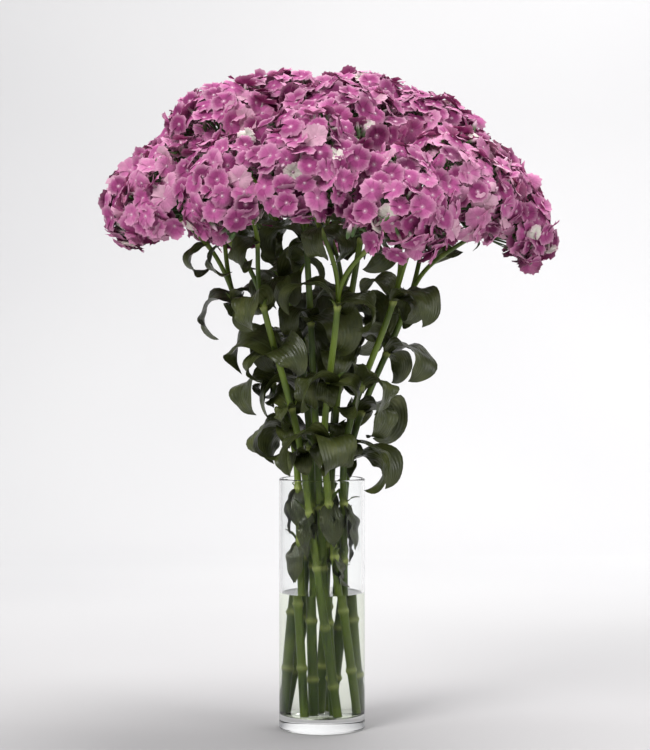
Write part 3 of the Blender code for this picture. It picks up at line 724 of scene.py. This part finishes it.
def umbel_material():
    """Calyxes, stalks, awns and buds: fresh green, blushing to pale pink at the buds' tips."""
    material, tree, shader = new_material("umbel_green", Roughness=0.5)
    mottle = noise(tree, own_place(tree), 220.0, 3.0)
    green = ramp(tree, mottle, [(0.3, (0.035, 0.075, 0.018)), (0.7, (0.085, 0.16, 0.040))])
    tip = blended(tree, attribute(tree, "blush"), green, (0.72, 0.46, 0.58, 1))
    tree.links.new(tip, shader.inputs["Base Color"])
    return material


def leaf_material():
    """Dark green leaves with long veins side by side, a paler rib and an uneven gloss."""
    material, tree, shader = new_material("leaf_green", Roughness=0.42)
    across = blade_place(tree)[0]
    mottle = noise(tree, own_place(tree), 60.0, 4.0)
    greens = [(0.25, (0.025, 0.032, 0.007)), (0.55, (0.054, 0.066, 0.013)), (0.8, (0.105, 0.118, 0.028))]
    body = ramp(tree, mottle, greens)
    from_rib = maths(tree, "ABSOLUTE", maths(tree, "SUBTRACT", across, 0.5))
    rib = maths(tree, "LESS_THAN", from_rib, 0.022)
    ribbed = blended(tree, maths(tree, "MULTIPLY", rib, 0.45), body, (0.085, 0.11, 0.045, 1))
    fan = stripes(tree, across, 62.0)
    lines = maths(tree, "GREATER_THAN", fan, 0.8)
    veined = blended(tree, maths(tree, "MULTIPLY", lines, 0.16), ribbed, (0.070, 0.090, 0.045, 1))
    tree.links.new(veined, shader.inputs["Base Color"])
    height = maths(tree, "ADD", maths(tree, "MULTIPLY", fan, 0.4), maths(tree, "MULTIPLY", mottle, 0.8))
    add_relief(tree, shader, height, 0.45, 0.0006)
    tree.links.new(scaled(tree, mottle, 0.25, 0.28), shader.inputs["Roughness"])
    return material


def sprout_material():
    """Young blades: yellow green, darker towards the tip, with faint long veins."""
    material, tree, shader = new_material("sprout_green", Roughness=0.45)
    across, along = blade_place(tree)
    greens = [(0.0, (0.30, 0.36, 0.085)), (0.45, (0.13, 0.19, 0.030)), (1.0, (0.040, 0.065, 0.014))]
    body = ramp(tree, along, greens)
    veins = maths(tree, "GREATER_THAN", stripes(tree, across, 24.0), 0.6)
    lines = maths(tree, "MULTIPLY", veins, 0.25)
    veined = blended(tree, lines, body, (0.02, 0.03, 0.01, 1))
    tree.links.new(veined, shader.inputs["Base Color"])
    return material


def stem_material():
    """Green stems, streaked along and fresher in places, that pale to yellow at the swollen joints."""
    material, tree, shader = new_material("stem_green", Roughness=0.4)
    place = own_place(tree)
    stretch = node(tree, "Mapping", {"Vector": place, "Scale": (260.0, 260.0, 14.0)}).outputs[0]
    streak = noise(tree, stretch, 1.0)
    freshness = scaled(tree, attribute(tree, "fresh"), 0.22, -0.11)
    drift = maths(tree, "ADD", noise(tree, place, 26.0, 1.0), freshness)
    body = ramp(tree, streak, [(0.3, (0.045, 0.085, 0.010)), (0.7, (0.105, 0.17, 0.022))])
    is_fresh = ramp(tree, drift, [(0.40, (0.0,) * 3), (0.62, (0.85,) * 3)])
    body = blended(tree, is_fresh, body, (0.16, 0.235, 0.018, 1))
    patch = scaled(tree, noise(tree, place, 150.0), 1.3, 0.10)
    worn = maths(tree, "MULTIPLY", attribute(tree, "joint"), patch)
    paled = blended(tree, worn, body, (0.42, 0.48, 0.12, 1))
    tree.links.new(paled, shader.inputs["Base Color"])
    add_relief(tree, shader, streak, 0.2, 0.0003)
    return material


def glass_material():
    """Clear, faintly green glass, with the slightest unevenness in its gloss."""
    material, tree, shader = new_material(
        "vase_glass",
        Base_Color=(0.985, 0.995, 0.99, 1),
        Roughness=0.0,
        IOR=1.46,
        Transmission_Weight=1.0,
        Specular_Tint=(0.13, 0.135, 0.13, 1),
    )
    smear = noise(tree, own_place(tree), 24.0)
    tree.links.new(maths(tree, "MULTIPLY", smear, 0.006), shader.inputs["Roughness"])
    return material


def water_material():
    """Clear water with a slow, faint ripple."""
    material, tree, shader = new_material(
        "vase_water",
        Base_Color=(0.955, 0.985, 0.88, 1),
        Roughness=0.0,
        IOR=1.33,
        Transmission_Weight=1.0,
        Specular_Tint=(0.30, 0.33, 0.25, 1),
    )
    add_relief(tree, shader, noise(tree, own_place(tree), 30.0), 0.03, 0.0005)
    return material


def turned(name, profile, material, nodes):
    """A solid of revolution: the profile (radius, height) carried round Z, its ends closed on the axis."""
    radius, height = np.array(profile[1:-1]).T
    turn = np.linspace(0, 2 * np.pi, VASE_SIDES, endpoint=False)
    ring = np.stack([np.cos(turn), np.sin(turn), np.zeros(VASE_SIDES)], axis=1)
    points = radius[:, None, None] * ring + height[:, None, None] * np.array([0.0, 0.0, 1.0])
    ends = [[0.0, 0.0, profile[0][1]], [0.0, 0.0, profile[-1][1]]]
    points = np.vstack([points.reshape(-1, 3), ends])
    rows = len(radius)
    first, last = rows * VASE_SIDES, rows * VASE_SIDES + 1
    k = np.arange(VASE_SIDES)
    after = (k + 1) % VASE_SIDES
    low = np.stack([np.full(VASE_SIDES, first), after, k], axis=1)
    high = np.stack([np.full(VASE_SIDES, last), k, after], axis=1)
    high[:, 1:] += (rows - 1) * VASE_SIDES
    obj = piece(name, points, [grid_faces(rows, VASE_SIDES, True), low, high], material, nodes)
    obj.data.set_sharp_from_angle(angle=math.radians(GLASS_EDGE))


def arc(centre, radius, start, end, count):
    """Points of a circular arc in the profile's plane, by angles in degrees."""
    angles = np.radians(np.linspace(start, end, count))
    return [(centre[0] + radius * math.cos(a), centre[1] + radius * math.sin(a)) for a in angles]


def wall(radius, start, end):
    """A straight upright run of a profile, with points just inside its ends that keep the shading even."""
    step = 0.0015 if end > start else -0.0015
    return [(radius, height) for height in (start + step, start + 4 * step, end - 4 * step, end - step)]


def make_vase(material):
    inside = VASE_RADIUS - VASE_WALL
    lip = VASE_WALL / 2
    profile = [
        (0.0, 0.0),
        *arc((VASE_RADIUS - EDGE_ROUND, EDGE_ROUND), EDGE_ROUND, -90, 0, 5),
        *wall(VASE_RADIUS, EDGE_ROUND, VASE_HEIGHT - lip),
        *arc((VASE_RADIUS - lip, VASE_HEIGHT - lip), lip, 0, 180, 9),
        *wall(inside, VASE_HEIGHT - lip, VASE_FLOOR + FLOOR_ROUND),
        *arc((inside - FLOOR_ROUND, VASE_FLOOR + FLOOR_ROUND), FLOOR_ROUND, 0, -90, 7),
        (0.0, VASE_FLOOR),
    ]
    turned("clear_vase", profile, material, ["vase"])


def make_water(material):
    """The water reaches a hair into the glass, so that no film of air shows, and climbs a bit at the wall."""
    reach = VASE_RADIUS - VASE_WALL + WATER_OVERLAP
    low = VASE_FLOOR - WATER_OVERLAP
    climb = np.linspace(0, 1, 6)
    rim = [(reach - 0.008 * s, WATER_LEVEL - MENISCUS + MENISCUS * (1 - s) ** 2) for s in climb]
    profile = [
        (0.0, low),
        *arc((reach - FLOOR_ROUND, low + FLOOR_ROUND), FLOOR_ROUND, -90, 0, 7),
        *wall(reach, low + FLOOR_ROUND, WATER_LEVEL),
        *rim,
        (0.0, WATER_LEVEL - MENISCUS),
    ]
    turned("vase_water", profile, material, ["water"])


def along_path(path, count):
    places = np.linspace(0, path.length, count)
    return places, np.stack([np.interp(places, path.along, path.points[:, k]) for k in range(3)], axis=1)


def join_tubes(groups):
    """Points, faces and point values of tubes in groups of lines, radii, sides and values at the stations."""
    points, faces, values, start = [], [], [], 0
    for lines, radii, sides, value in groups:
        rings = tube_points(lines, radii, sides)
        faces += [group + start for group in tube_faces(len(lines), lines.shape[1], sides)]
        points.append(rings)
        values.append(np.repeat(value.ravel(), sides))
        start += len(rings)
    return np.vstack(points), faces, np.concatenate(values)


def main_stalk(plan):
    """A round tube that thins evenly, with a bell curve's swelling at each joint and a glow above it."""
    path = plan["path"]
    stations, sides = STALK_GRID
    places, line = along_path(path, stations)
    above = places[:, None] - np.array(plan["joints"])
    bell = np.exp(-((above / SWELL_FADE) ** 2)).sum(axis=1)
    glow = bell + 0.35 * (np.exp(-np.maximum(above, 0) / GLOW_FADE) * (above > 0)).sum(axis=1)
    thinning = STEM_FOOT_RADIUS + (STEM_FORK_RADIUS - STEM_FOOT_RADIUS) * places / path.length
    radius = thinning * (1 + (JOINT_SWELL - 1) * bell)
    return line[None], radius[None], sides, glow


def branch_stalk(path):
    """A round tube that thins a little, with a bell curve's swelling at its leaf and under the head."""
    stations, sides = BRANCH_GRID
    places, line = along_path(path, stations)
    share = places / path.length
    at_leaf = np.exp(-(((share - BRANCH_LEAF_PLACE) / 0.05) ** 2))
    bell = at_leaf * 0.6 + np.exp(-(((share - 1.0) / 0.06) ** 2))
    radius = BRANCH_RADIUS * (1.0 + 0.35 * bell) * (1.15 - 0.15 * share)
    return line[None], radius[None], sides, bell * 0.7


def make_stalks(plan, material):
    """The main stem and its two branches."""
    name = f"{plan['index'] + 1:02d}"
    branches = [branch_stalk(head["branch"]) for head in plan["heads"]]
    points, faces, joints = join_tubes([main_stalk(plan), *branches])
    values = {"joint": joints, "fresh": np.full(len(joints), (plan["index"] * 0.618) % 1)}
    piece(f"stalks_{name}", points, faces, material, [f"stem_{name}"], values)


def make_blades(name, leaves, size, rng, material, nodes):
    """Closed folded blades on the leaves' own frames, at u from -1 to 1 across and s from 0 to 1 along.

    A blade's lift from its rib, in half widths, is the fold times u without its sign, rounded at the rib,
    plus u squared times a slow sine of s that differs at the two edges, plus puckers, a cosine of u times a
    sine of s.
    """
    rows, columns = size
    u = np.linspace(-1, 1, columns)[None, :, None]
    s = np.linspace(0, 1, rows)[:, None]
    grids, pushes = [], []
    for leaf in leaves:
        rib, side, normal, half = leaf_frames(leaf, rows)
        edge = u[..., 0]
        bell = np.sin(np.pi * s) ** 0.5
        left, right = (np.sin(s * rng.uniform(11, 19) + rng.uniform(0, 6)) for _ in range(2))
        wave = EDGE_WAVE * bell * edge**2 * np.where(edge > 0, right, left)
        pucker = PUCKER * bell * np.cos(edge * 7) * np.sin(s * 23 + rng.uniform(0, 6))
        lift = LEAF_FOLD * np.sqrt(edge**2 + 0.02) + wave + pucker
        width = np.maximum(half, 0.0003)[:, None, None]
        grids.append(rib[:, None] + (side[:, None] * u + normal[:, None] * lift[..., None]) * width)
        thin = LEAF_THICKNESS * (1 - 0.7 * np.abs(u)) * np.minimum(1.0, leaf["width"] / LEAF_WIDTH + 0.2)
        pushes.append(normal[:, None] * thin)
    count = len(leaves)
    across = blade_values(np.broadcast_to((u[..., 0] + 1) / 2, (count, rows, columns)))
    along = blade_values(np.broadcast_to(s, (count, rows, columns)))
    faces = [repeated(blade_faces(rows, columns), count, len(across) // count)]
    uv = np.stack([across, along], axis=1)
    points = blade_points(np.array(grids), np.array(pushes))
    obj = piece(name, points, faces, material, nodes, None, uv)
    obj.data.set_sharp_from_angle(angle=math.radians(BLADE_EDGE))


def make_leaves(plan, rng, material):
    """All the stem's leaves, its branches' leaves and the bracts under its heads."""
    leaves = plan["leaves"] + [leaf for head in plan["heads"] for leaf in head["leaves"]]
    leaves += [bract(head, k) for head in plan["heads"] for k in range(2)]
    name = f"{plan['index'] + 1:02d}"
    make_blades(f"leaves_{name}", leaves, LEAF_GRID, rng, material, [f"stem_{name}"])


def make_sprouts(plan, rng, material):
    """Two short young blades at each joint above the water, close against the stem."""
    sprouts = []
    for place, turn in zip(plan["joints"], plan["turns"]):
        root, up = plan["path"].at(place), plan["path"].heading(place)
        if root[2] < WATER_LEVEL + 0.01:
            continue
        level, across = crossways(up)
        for k in range(SPROUTS):
            angle = math.radians(turn + 90 + 180 * k + rng.uniform(-50, 50))
            out = math.cos(angle) * level + math.sin(angle) * across
            length = SPROUT_LENGTH * rng.uniform(0.6, 1.2)
            sprouts.append({
                "root": root + out * STEM_FORK_RADIUS * 0.9,
                "up": up,
                "out": out,
                "length": length,
                "width": length * 0.30,
                "start": rng.uniform(14, 34),
                "curl": rng.uniform(10, 70),
                "ease": LEAF_EASE,
                "twist": rng.uniform(-30, 30),
            })
    name = f"{plan['index'] + 1:02d}"
    make_blades(f"sprouts_{name}", sprouts, SPROUT_GRID, rng, material, [f"stem_{name}"])


def floret_places(head, others, rng):
    """Middles and facings of a head's florets, in layers, each on a spiral over the head's flat ball.

    A floret that would be in a neighbouring head's half of the space between the two is left out.
    """
    lowest = math.cos(math.radians(LOWEST_FLORET[head["is_outer"]]))
    first, second = crossways(head["axis"])
    places, facings = [], []
    for layer, (share, spread, fill) in enumerate(LAYERS):
        radius = head["radius"] * share
        room = FLORET_SPACING**2 * CLOSE_PACKING / fill
        count = int(2 * np.pi * radius**2 * FLAT_BALL_AREA * (1 - lowest) / room)
        k = np.arange(count)
        level = 1 - (k + 0.5) / count * (1 - lowest)
        turn = np.radians(GOLDEN_TURN * k + head["spin"] + 70 * layer) + rng.normal(0, 0.10, count)
        flat = np.sqrt(1 - level**2)
        sideways = np.cos(turn)[:, None] * first + np.sin(turn)[:, None] * second
        reach = radius * np.clip(rng.normal(1.0, spread, count), 0.90, 1.07)[:, None]
        out = sideways * flat[:, None]
        places.append(head["middle"] + reach * (out + head["axis"] * level[:, None] * HEAD_FLATNESS))
        facing = out * HEAD_FLATNESS + head["axis"] * level[:, None]
        facing += rng.normal(0, FACING_SPREAD, (count, 3))
        facings.append(facing / np.linalg.norm(facing, axis=1, keepdims=True))
    place, facing = np.vstack(places), np.vstack(facings)
    keep = np.ones(len(place), bool)
    for other in others:
        between = other["middle"] - head["middle"]
        apart = np.linalg.norm(between)
        share = head["radius"] / (head["radius"] + other["radius"])
        keep &= (place - head["middle"]) @ between / apart < apart * share - HEAD_GAP
    is_top = np.arange(len(place)) < len(places[0])
    return place[keep], facing[keep], is_top[keep]


def floret_frames(facing, rng):
    """Two directions square to each facing, turned by chance."""
    level = square_to(facing, facing)
    across = np.cross(facing, level)
    turn = rng.uniform(0, 2 * np.pi, len(facing))[:, None]
    return np.cos(turn) * level + np.sin(turn) * across, np.cos(turn) * across - np.sin(turn) * level


def petal_shapes(is_cream, rng):
    """Angle, reach and height of all petals' grid points about their florets' axes.

    At v from eye to rim and u from edge to edge, a point's angle is the petal's own plus u times a half
    angle, and its reach grows with v, less the teeth. Its height is a rise out of the eye, less a droop at the
    rim, plus a ruffle across it and a tilt that lifts one edge over the next petal.
    """
    count = len(is_cream)
    shape = (count, 5, 1, 1)
    each = (count, 1, 1, 1)
    u = np.linspace(-1, 1, PETAL_COLUMNS)[None, None, None, :]
    v = np.array(PETAL_STEPS)[None, None, :, None]
    opening = np.where(is_cream, CREAM_SIZE, 1.0).reshape(each)
    size = FLORET_RADIUS * opening * rng.uniform(0.84, 1.10, each) * rng.uniform(0.93, 1.05, shape)
    middle = np.radians(72 * np.arange(5))[None, :, None, None] + rng.normal(0, 0.05, shape)
    half = np.radians(PETAL_HALF_ANGLE) * (0.94 + 0.06 * v)
    is_notch = (np.arange(PETAL_COLUMNS) % 2)[None, None, None, :] * (v == 1)
    teeth = TOOTH * is_notch * rng.uniform(0.5, 1.3, (count, 5, 1, PETAL_COLUMNS))
    reach = size * (0.05 + 0.95 * v) * (1 - 0.10 * u**2 * v) * (1 - teeth)
    droop = rng.uniform(-0.22, 0.30, each) + rng.uniform(-0.14, 0.18, shape)
    ruffle = rng.uniform(0.04, 0.13, shape) * np.sin(2.9 * u + rng.uniform(0, 6, shape)) * v**2
    height = size * (0.16 * np.sin(2.2 * v) - droop * v**2 + ruffle + 0.05 * u * v)
    return middle + u * half, reach, height


def petal_tints(is_cream, rng):
    """Each petal's tint, from 0, deep, to 1, cream: the head's tone, varied by floret and less by petal."""
    count = len(is_cream)
    tone = 0.42 + rng.normal(0, 0.11)
    tint = rng.normal(tone, 0.24, (count, 1, 1)) + rng.normal(0, 0.07, (count, 5, 1))
    tint = np.clip(tint, 0, 0.90)
    tint[is_cream] = 1.0
    return tint.reshape(count * 5, 1, 1)


def make_florets(name, place, facing, rng, material):
    """Five toothed petals to a floret, each lapping over the next, as closed blades of petal_shapes."""
    count = len(place) * 5
    rows = len(PETAL_STEPS)
    grid_shape = (count, rows, PETAL_COLUMNS)
    is_cream = rng.uniform(size=len(place)) < CREAM_SHARE
    angle, reach, height = petal_shapes(is_cream, rng)
    first, second = floret_frames(facing, rng)
    first, second, up, root = (column[:, None, None, None, :] for column in (first, second, facing, place))
    grid = root + up * height[..., None] + first * (reach * np.cos(angle))[..., None]
    grid = (grid + second * (reach * np.sin(angle))[..., None]).reshape(*grid_shape, 3)
    push = np.repeat(facing, 5, axis=0)[:, None, None, :] * PETAL_THICKNESS
    tint = blade_values(np.broadcast_to(petal_tints(is_cream, rng), grid_shape))
    across = blade_values(np.broadcast_to(np.linspace(0, 1, PETAL_COLUMNS), grid_shape))
    along = blade_values(np.broadcast_to(np.array(PETAL_STEPS)[:, None], grid_shape))
    faces = [repeated(blade_faces(rows, PETAL_COLUMNS), count, len(across) // count)]
    uv = np.stack([across, along], axis=1)
    points = blade_points(grid, push)
    nodes = [f"head_{name}"]
    obj = piece(f"florets_{name}", points, faces, material, nodes, {"tint": tint}, uv)
    obj.data.set_sharp_from_angle(angle=math.radians(BLADE_EDGE))


def curved_lines(start, bend, end, stations):
    """Points on many quadratic curves at once."""
    t = np.linspace(0, 1, stations)[None, :, None]
    return (1 - t) ** 2 * start[:, None] + 2 * (1 - t) * t * bend[:, None] + t**2 * end[:, None]


def tapered(lines, radius, taper, sides, blush):
    """A group of tubes for join_tubes, all with the same taper and blush along them."""
    count = len(lines)
    radii = np.broadcast_to(radius * np.array(taper), (count, len(taper)))
    return lines, radii, sides, np.broadcast_to(np.array(blush), (count, len(blush)))


def calyx_tubes(foot, place, facing):
    lines = curved_lines(foot, (foot + place) / 2, place + facing * 0.0006, 5)
    return tapered(lines, CALYX_RADIUS, (0.55, 0.95, 0.95, 0.85, 0.60), 6, (0.0, 0.0, 0.0, 0.5, 1.0))


def stalk_tubes(foot, head, rng):
    """Thin stalks that leave the branch's top close together and spread to the florets' calyxes."""
    root = head["receptacle"] + rng.normal(0, 0.0007, foot.shape)
    bend = root + (foot - root) * 0.45 + head["axis"] * 0.004
    return tapered(curved_lines(root, bend, foot, 4), STALK_RADIUS, (1.0,) * 4, 4, (0.0,) * 4)


def awn_tubes(foot, facing, rng):
    """Pointed awns that start along the calyxes and bend away from them, each its own way."""
    count = len(foot) * AWNS
    start, along = np.repeat(foot, AWNS, axis=0), np.repeat(facing, AWNS, axis=0)
    out = along + rng.normal(0, 0.55, (count, 3))
    out /= np.linalg.norm(out, axis=1, keepdims=True)
    length = AWN_LENGTH * rng.uniform(0.6, 1.05, (count, 1))
    lines = curved_lines(start, start + along * length * 0.55, start + out * length, 5)
    return tapered(lines, AWN_RADIUS, (0.8, 1.0, 0.8, 0.5, 0.12), 3, (0.0,) * 5)


def bud_tubes(foot, facing, rng):
    """Closed buds beside a few of the calyxes, with pink tips."""
    chosen = rng.choice(len(foot), min(BUDS, len(foot)), replace=False)
    first, second = floret_frames(facing[chosen], rng)
    base = foot[chosen] + first * BUD_APART
    lean = facing[chosen] + first * 0.15
    lines = curved_lines(base, base + lean * BUD_BEND, base + lean * BUD_LENGTH, 8)
    swell = (0.45, 0.8, 1.0, 1.05, 1.05, 0.95, 0.65, 0.15)
    return tapered(lines, BUD_RADIUS, swell, 8, (0.0, 0.0, 0.0, 0.05, 0.3, 0.8, 1.0, 1.0))


def make_umbel(name, head, place, facing, rng, material):
    """A calyx, a stalk and awns under each floret, and closed buds between them: tapered tubes on curves."""
    foot = place - facing * CALYX_LENGTH
    calyxes, stalks = calyx_tubes(foot, place, facing), stalk_tubes(foot, head, rng)
    awns, buds = awn_tubes(foot, facing, rng), bud_tubes(foot, facing, rng)
    points, faces, blush = join_tubes([calyxes, stalks, awns, buds])
    nodes = [f"head_{name}"]
    piece(f"umbel_{name}", points, faces, material, nodes, {"blush": blush})


def make_backdrop():
    """A pale floor that curves up into a wall behind: a profile along Y, carried across X. Its colour holds
    painted shade, darker at the front and under the vase and brightening towards the wall.
    """
    bend = arc((WALL_BEHIND - WALL_BEND, WALL_BEND), WALL_BEND, -90, 0, 24)
    profile = np.array([(-FLOOR_FRONT, 0.0), (0.0, 0.0), *bend, (WALL_BEHIND, WALL_HEIGHT)])
    profile[:, 1] -= FLOOR_GAP
    across = np.linspace(-FLOOR_SIDE, FLOOR_SIDE, 5)
    points = np.zeros((len(profile), len(across), 3))
    points[..., 0] = across
    points[..., 1:] = profile[:, None]
    mesh = bpy.data.meshes.new("backdrop")
    faces = grid_faces(len(profile), len(across))[:, ::-1]
    mesh.from_pydata(points.reshape(-1, 3).tolist(), [], faces.tolist())
    mesh.shade_smooth()
    material, tree, shader = new_material("pale_floor", Roughness=0.8)
    place = own_place(tree)
    drift = noise(tree, place, 1.4, 1.0)
    pale = ramp(tree, drift, [(0.3, (0.685, 0.68, 0.685)), (0.7, (0.72, 0.715, 0.715))])
    # Painted shade: the floor's colour is darker towards the front and brighter towards the wall behind, the
    # way light falls on it.
    painted_shade_share = maths(tree, "MULTIPLY", node(tree, "SeparateXYZ", {0: place}).outputs[1], 0.5)
    shade = ramp(tree, painted_shade_share, [(0.0, (0.70, 0.69, 0.69)), (0.80, (1.0,) * 3)])
    tree.links.new(blended(tree, 1.0, pale, shade, "MULTIPLY"), shader.inputs["Base Color"])
    mesh.materials.append(material)
    backdrop = bpy.data.objects.new("backdrop", mesh)
    bpy.context.scene.collection.objects.link(backdrop)


def add_light(name, place, aim, size, power):
    light = bpy.data.lights.new(name, "AREA")
    light.shape = "DISK"
    light.size = size
    light.energy = power
    lamp = bpy.data.objects.new(name, light)
    lamp.location = place
    heading = np.array(aim) - np.array(place)
    from_up = math.acos(-heading[2] / np.linalg.norm(heading))
    lamp.rotation_euler = (from_up, 0.0, math.atan2(-heading[0], heading[1]))
    bpy.context.scene.collection.objects.link(lamp)


def set_stage():
    """Soft studio light from above and both sides, a pale surround, and the photograph's camera."""
    make_backdrop()
    for row in LIGHTS:
        add_light(*row)
    world = bpy.data.worlds.new("surround")
    world.use_nodes = True
    world.node_tree.nodes["Background"].inputs[0].default_value = SURROUND
    world.node_tree.nodes["Background"].inputs[1].default_value = SURROUND_STRENGTH
    bpy.context.scene.world = world
    lens = bpy.data.cameras.new("camera")
    lens.lens = LENS
    camera = bpy.data.objects.new("camera", lens)
    camera.location = CAMERA
    camera.rotation_euler = (math.radians(90 - CAMERA_DIP), 0.0, 0.0)
    bpy.context.scene.collection.objects.link(camera)
    bpy.context.scene.camera = camera
    bpy.context.scene.view_settings.view_transform = "Standard"


def main():
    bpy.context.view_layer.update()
    set_stage()
    make_vase(glass_material())
    make_water(water_material())
    stem_green, leaf_green, sprout_green = stem_material(), leaf_material(), sprout_material()
    petal_pink, umbel_green = petal_material(), umbel_material()
    plans = plan_bunch()
    heads = [head for plan in plans for head in plan["heads"]]
    for plan in plans:
        index = plan["index"]
        make_stalks(plan, stem_green)
        make_leaves(plan, np.random.default_rng(SEED + LEAF_SEED + index), leaf_green)
        make_sprouts(plan, np.random.default_rng(SEED + SPROUT_SEED + index), sprout_green)
        for letter, head in zip("ab", plan["heads"]):
            name = f"{index + 1:02d}{letter}"
            rng = np.random.default_rng(SEED + HEAD_SEED + 2 * index + (letter == "b"))
            others = [other for other in heads if other is not head]
            place, facing, is_top = floret_places(head, others, rng)
            make_florets(name, place, facing, rng, petal_pink)
            make_umbel(name, head, place[is_top], facing[is_top], rng, umbel_green)


main()
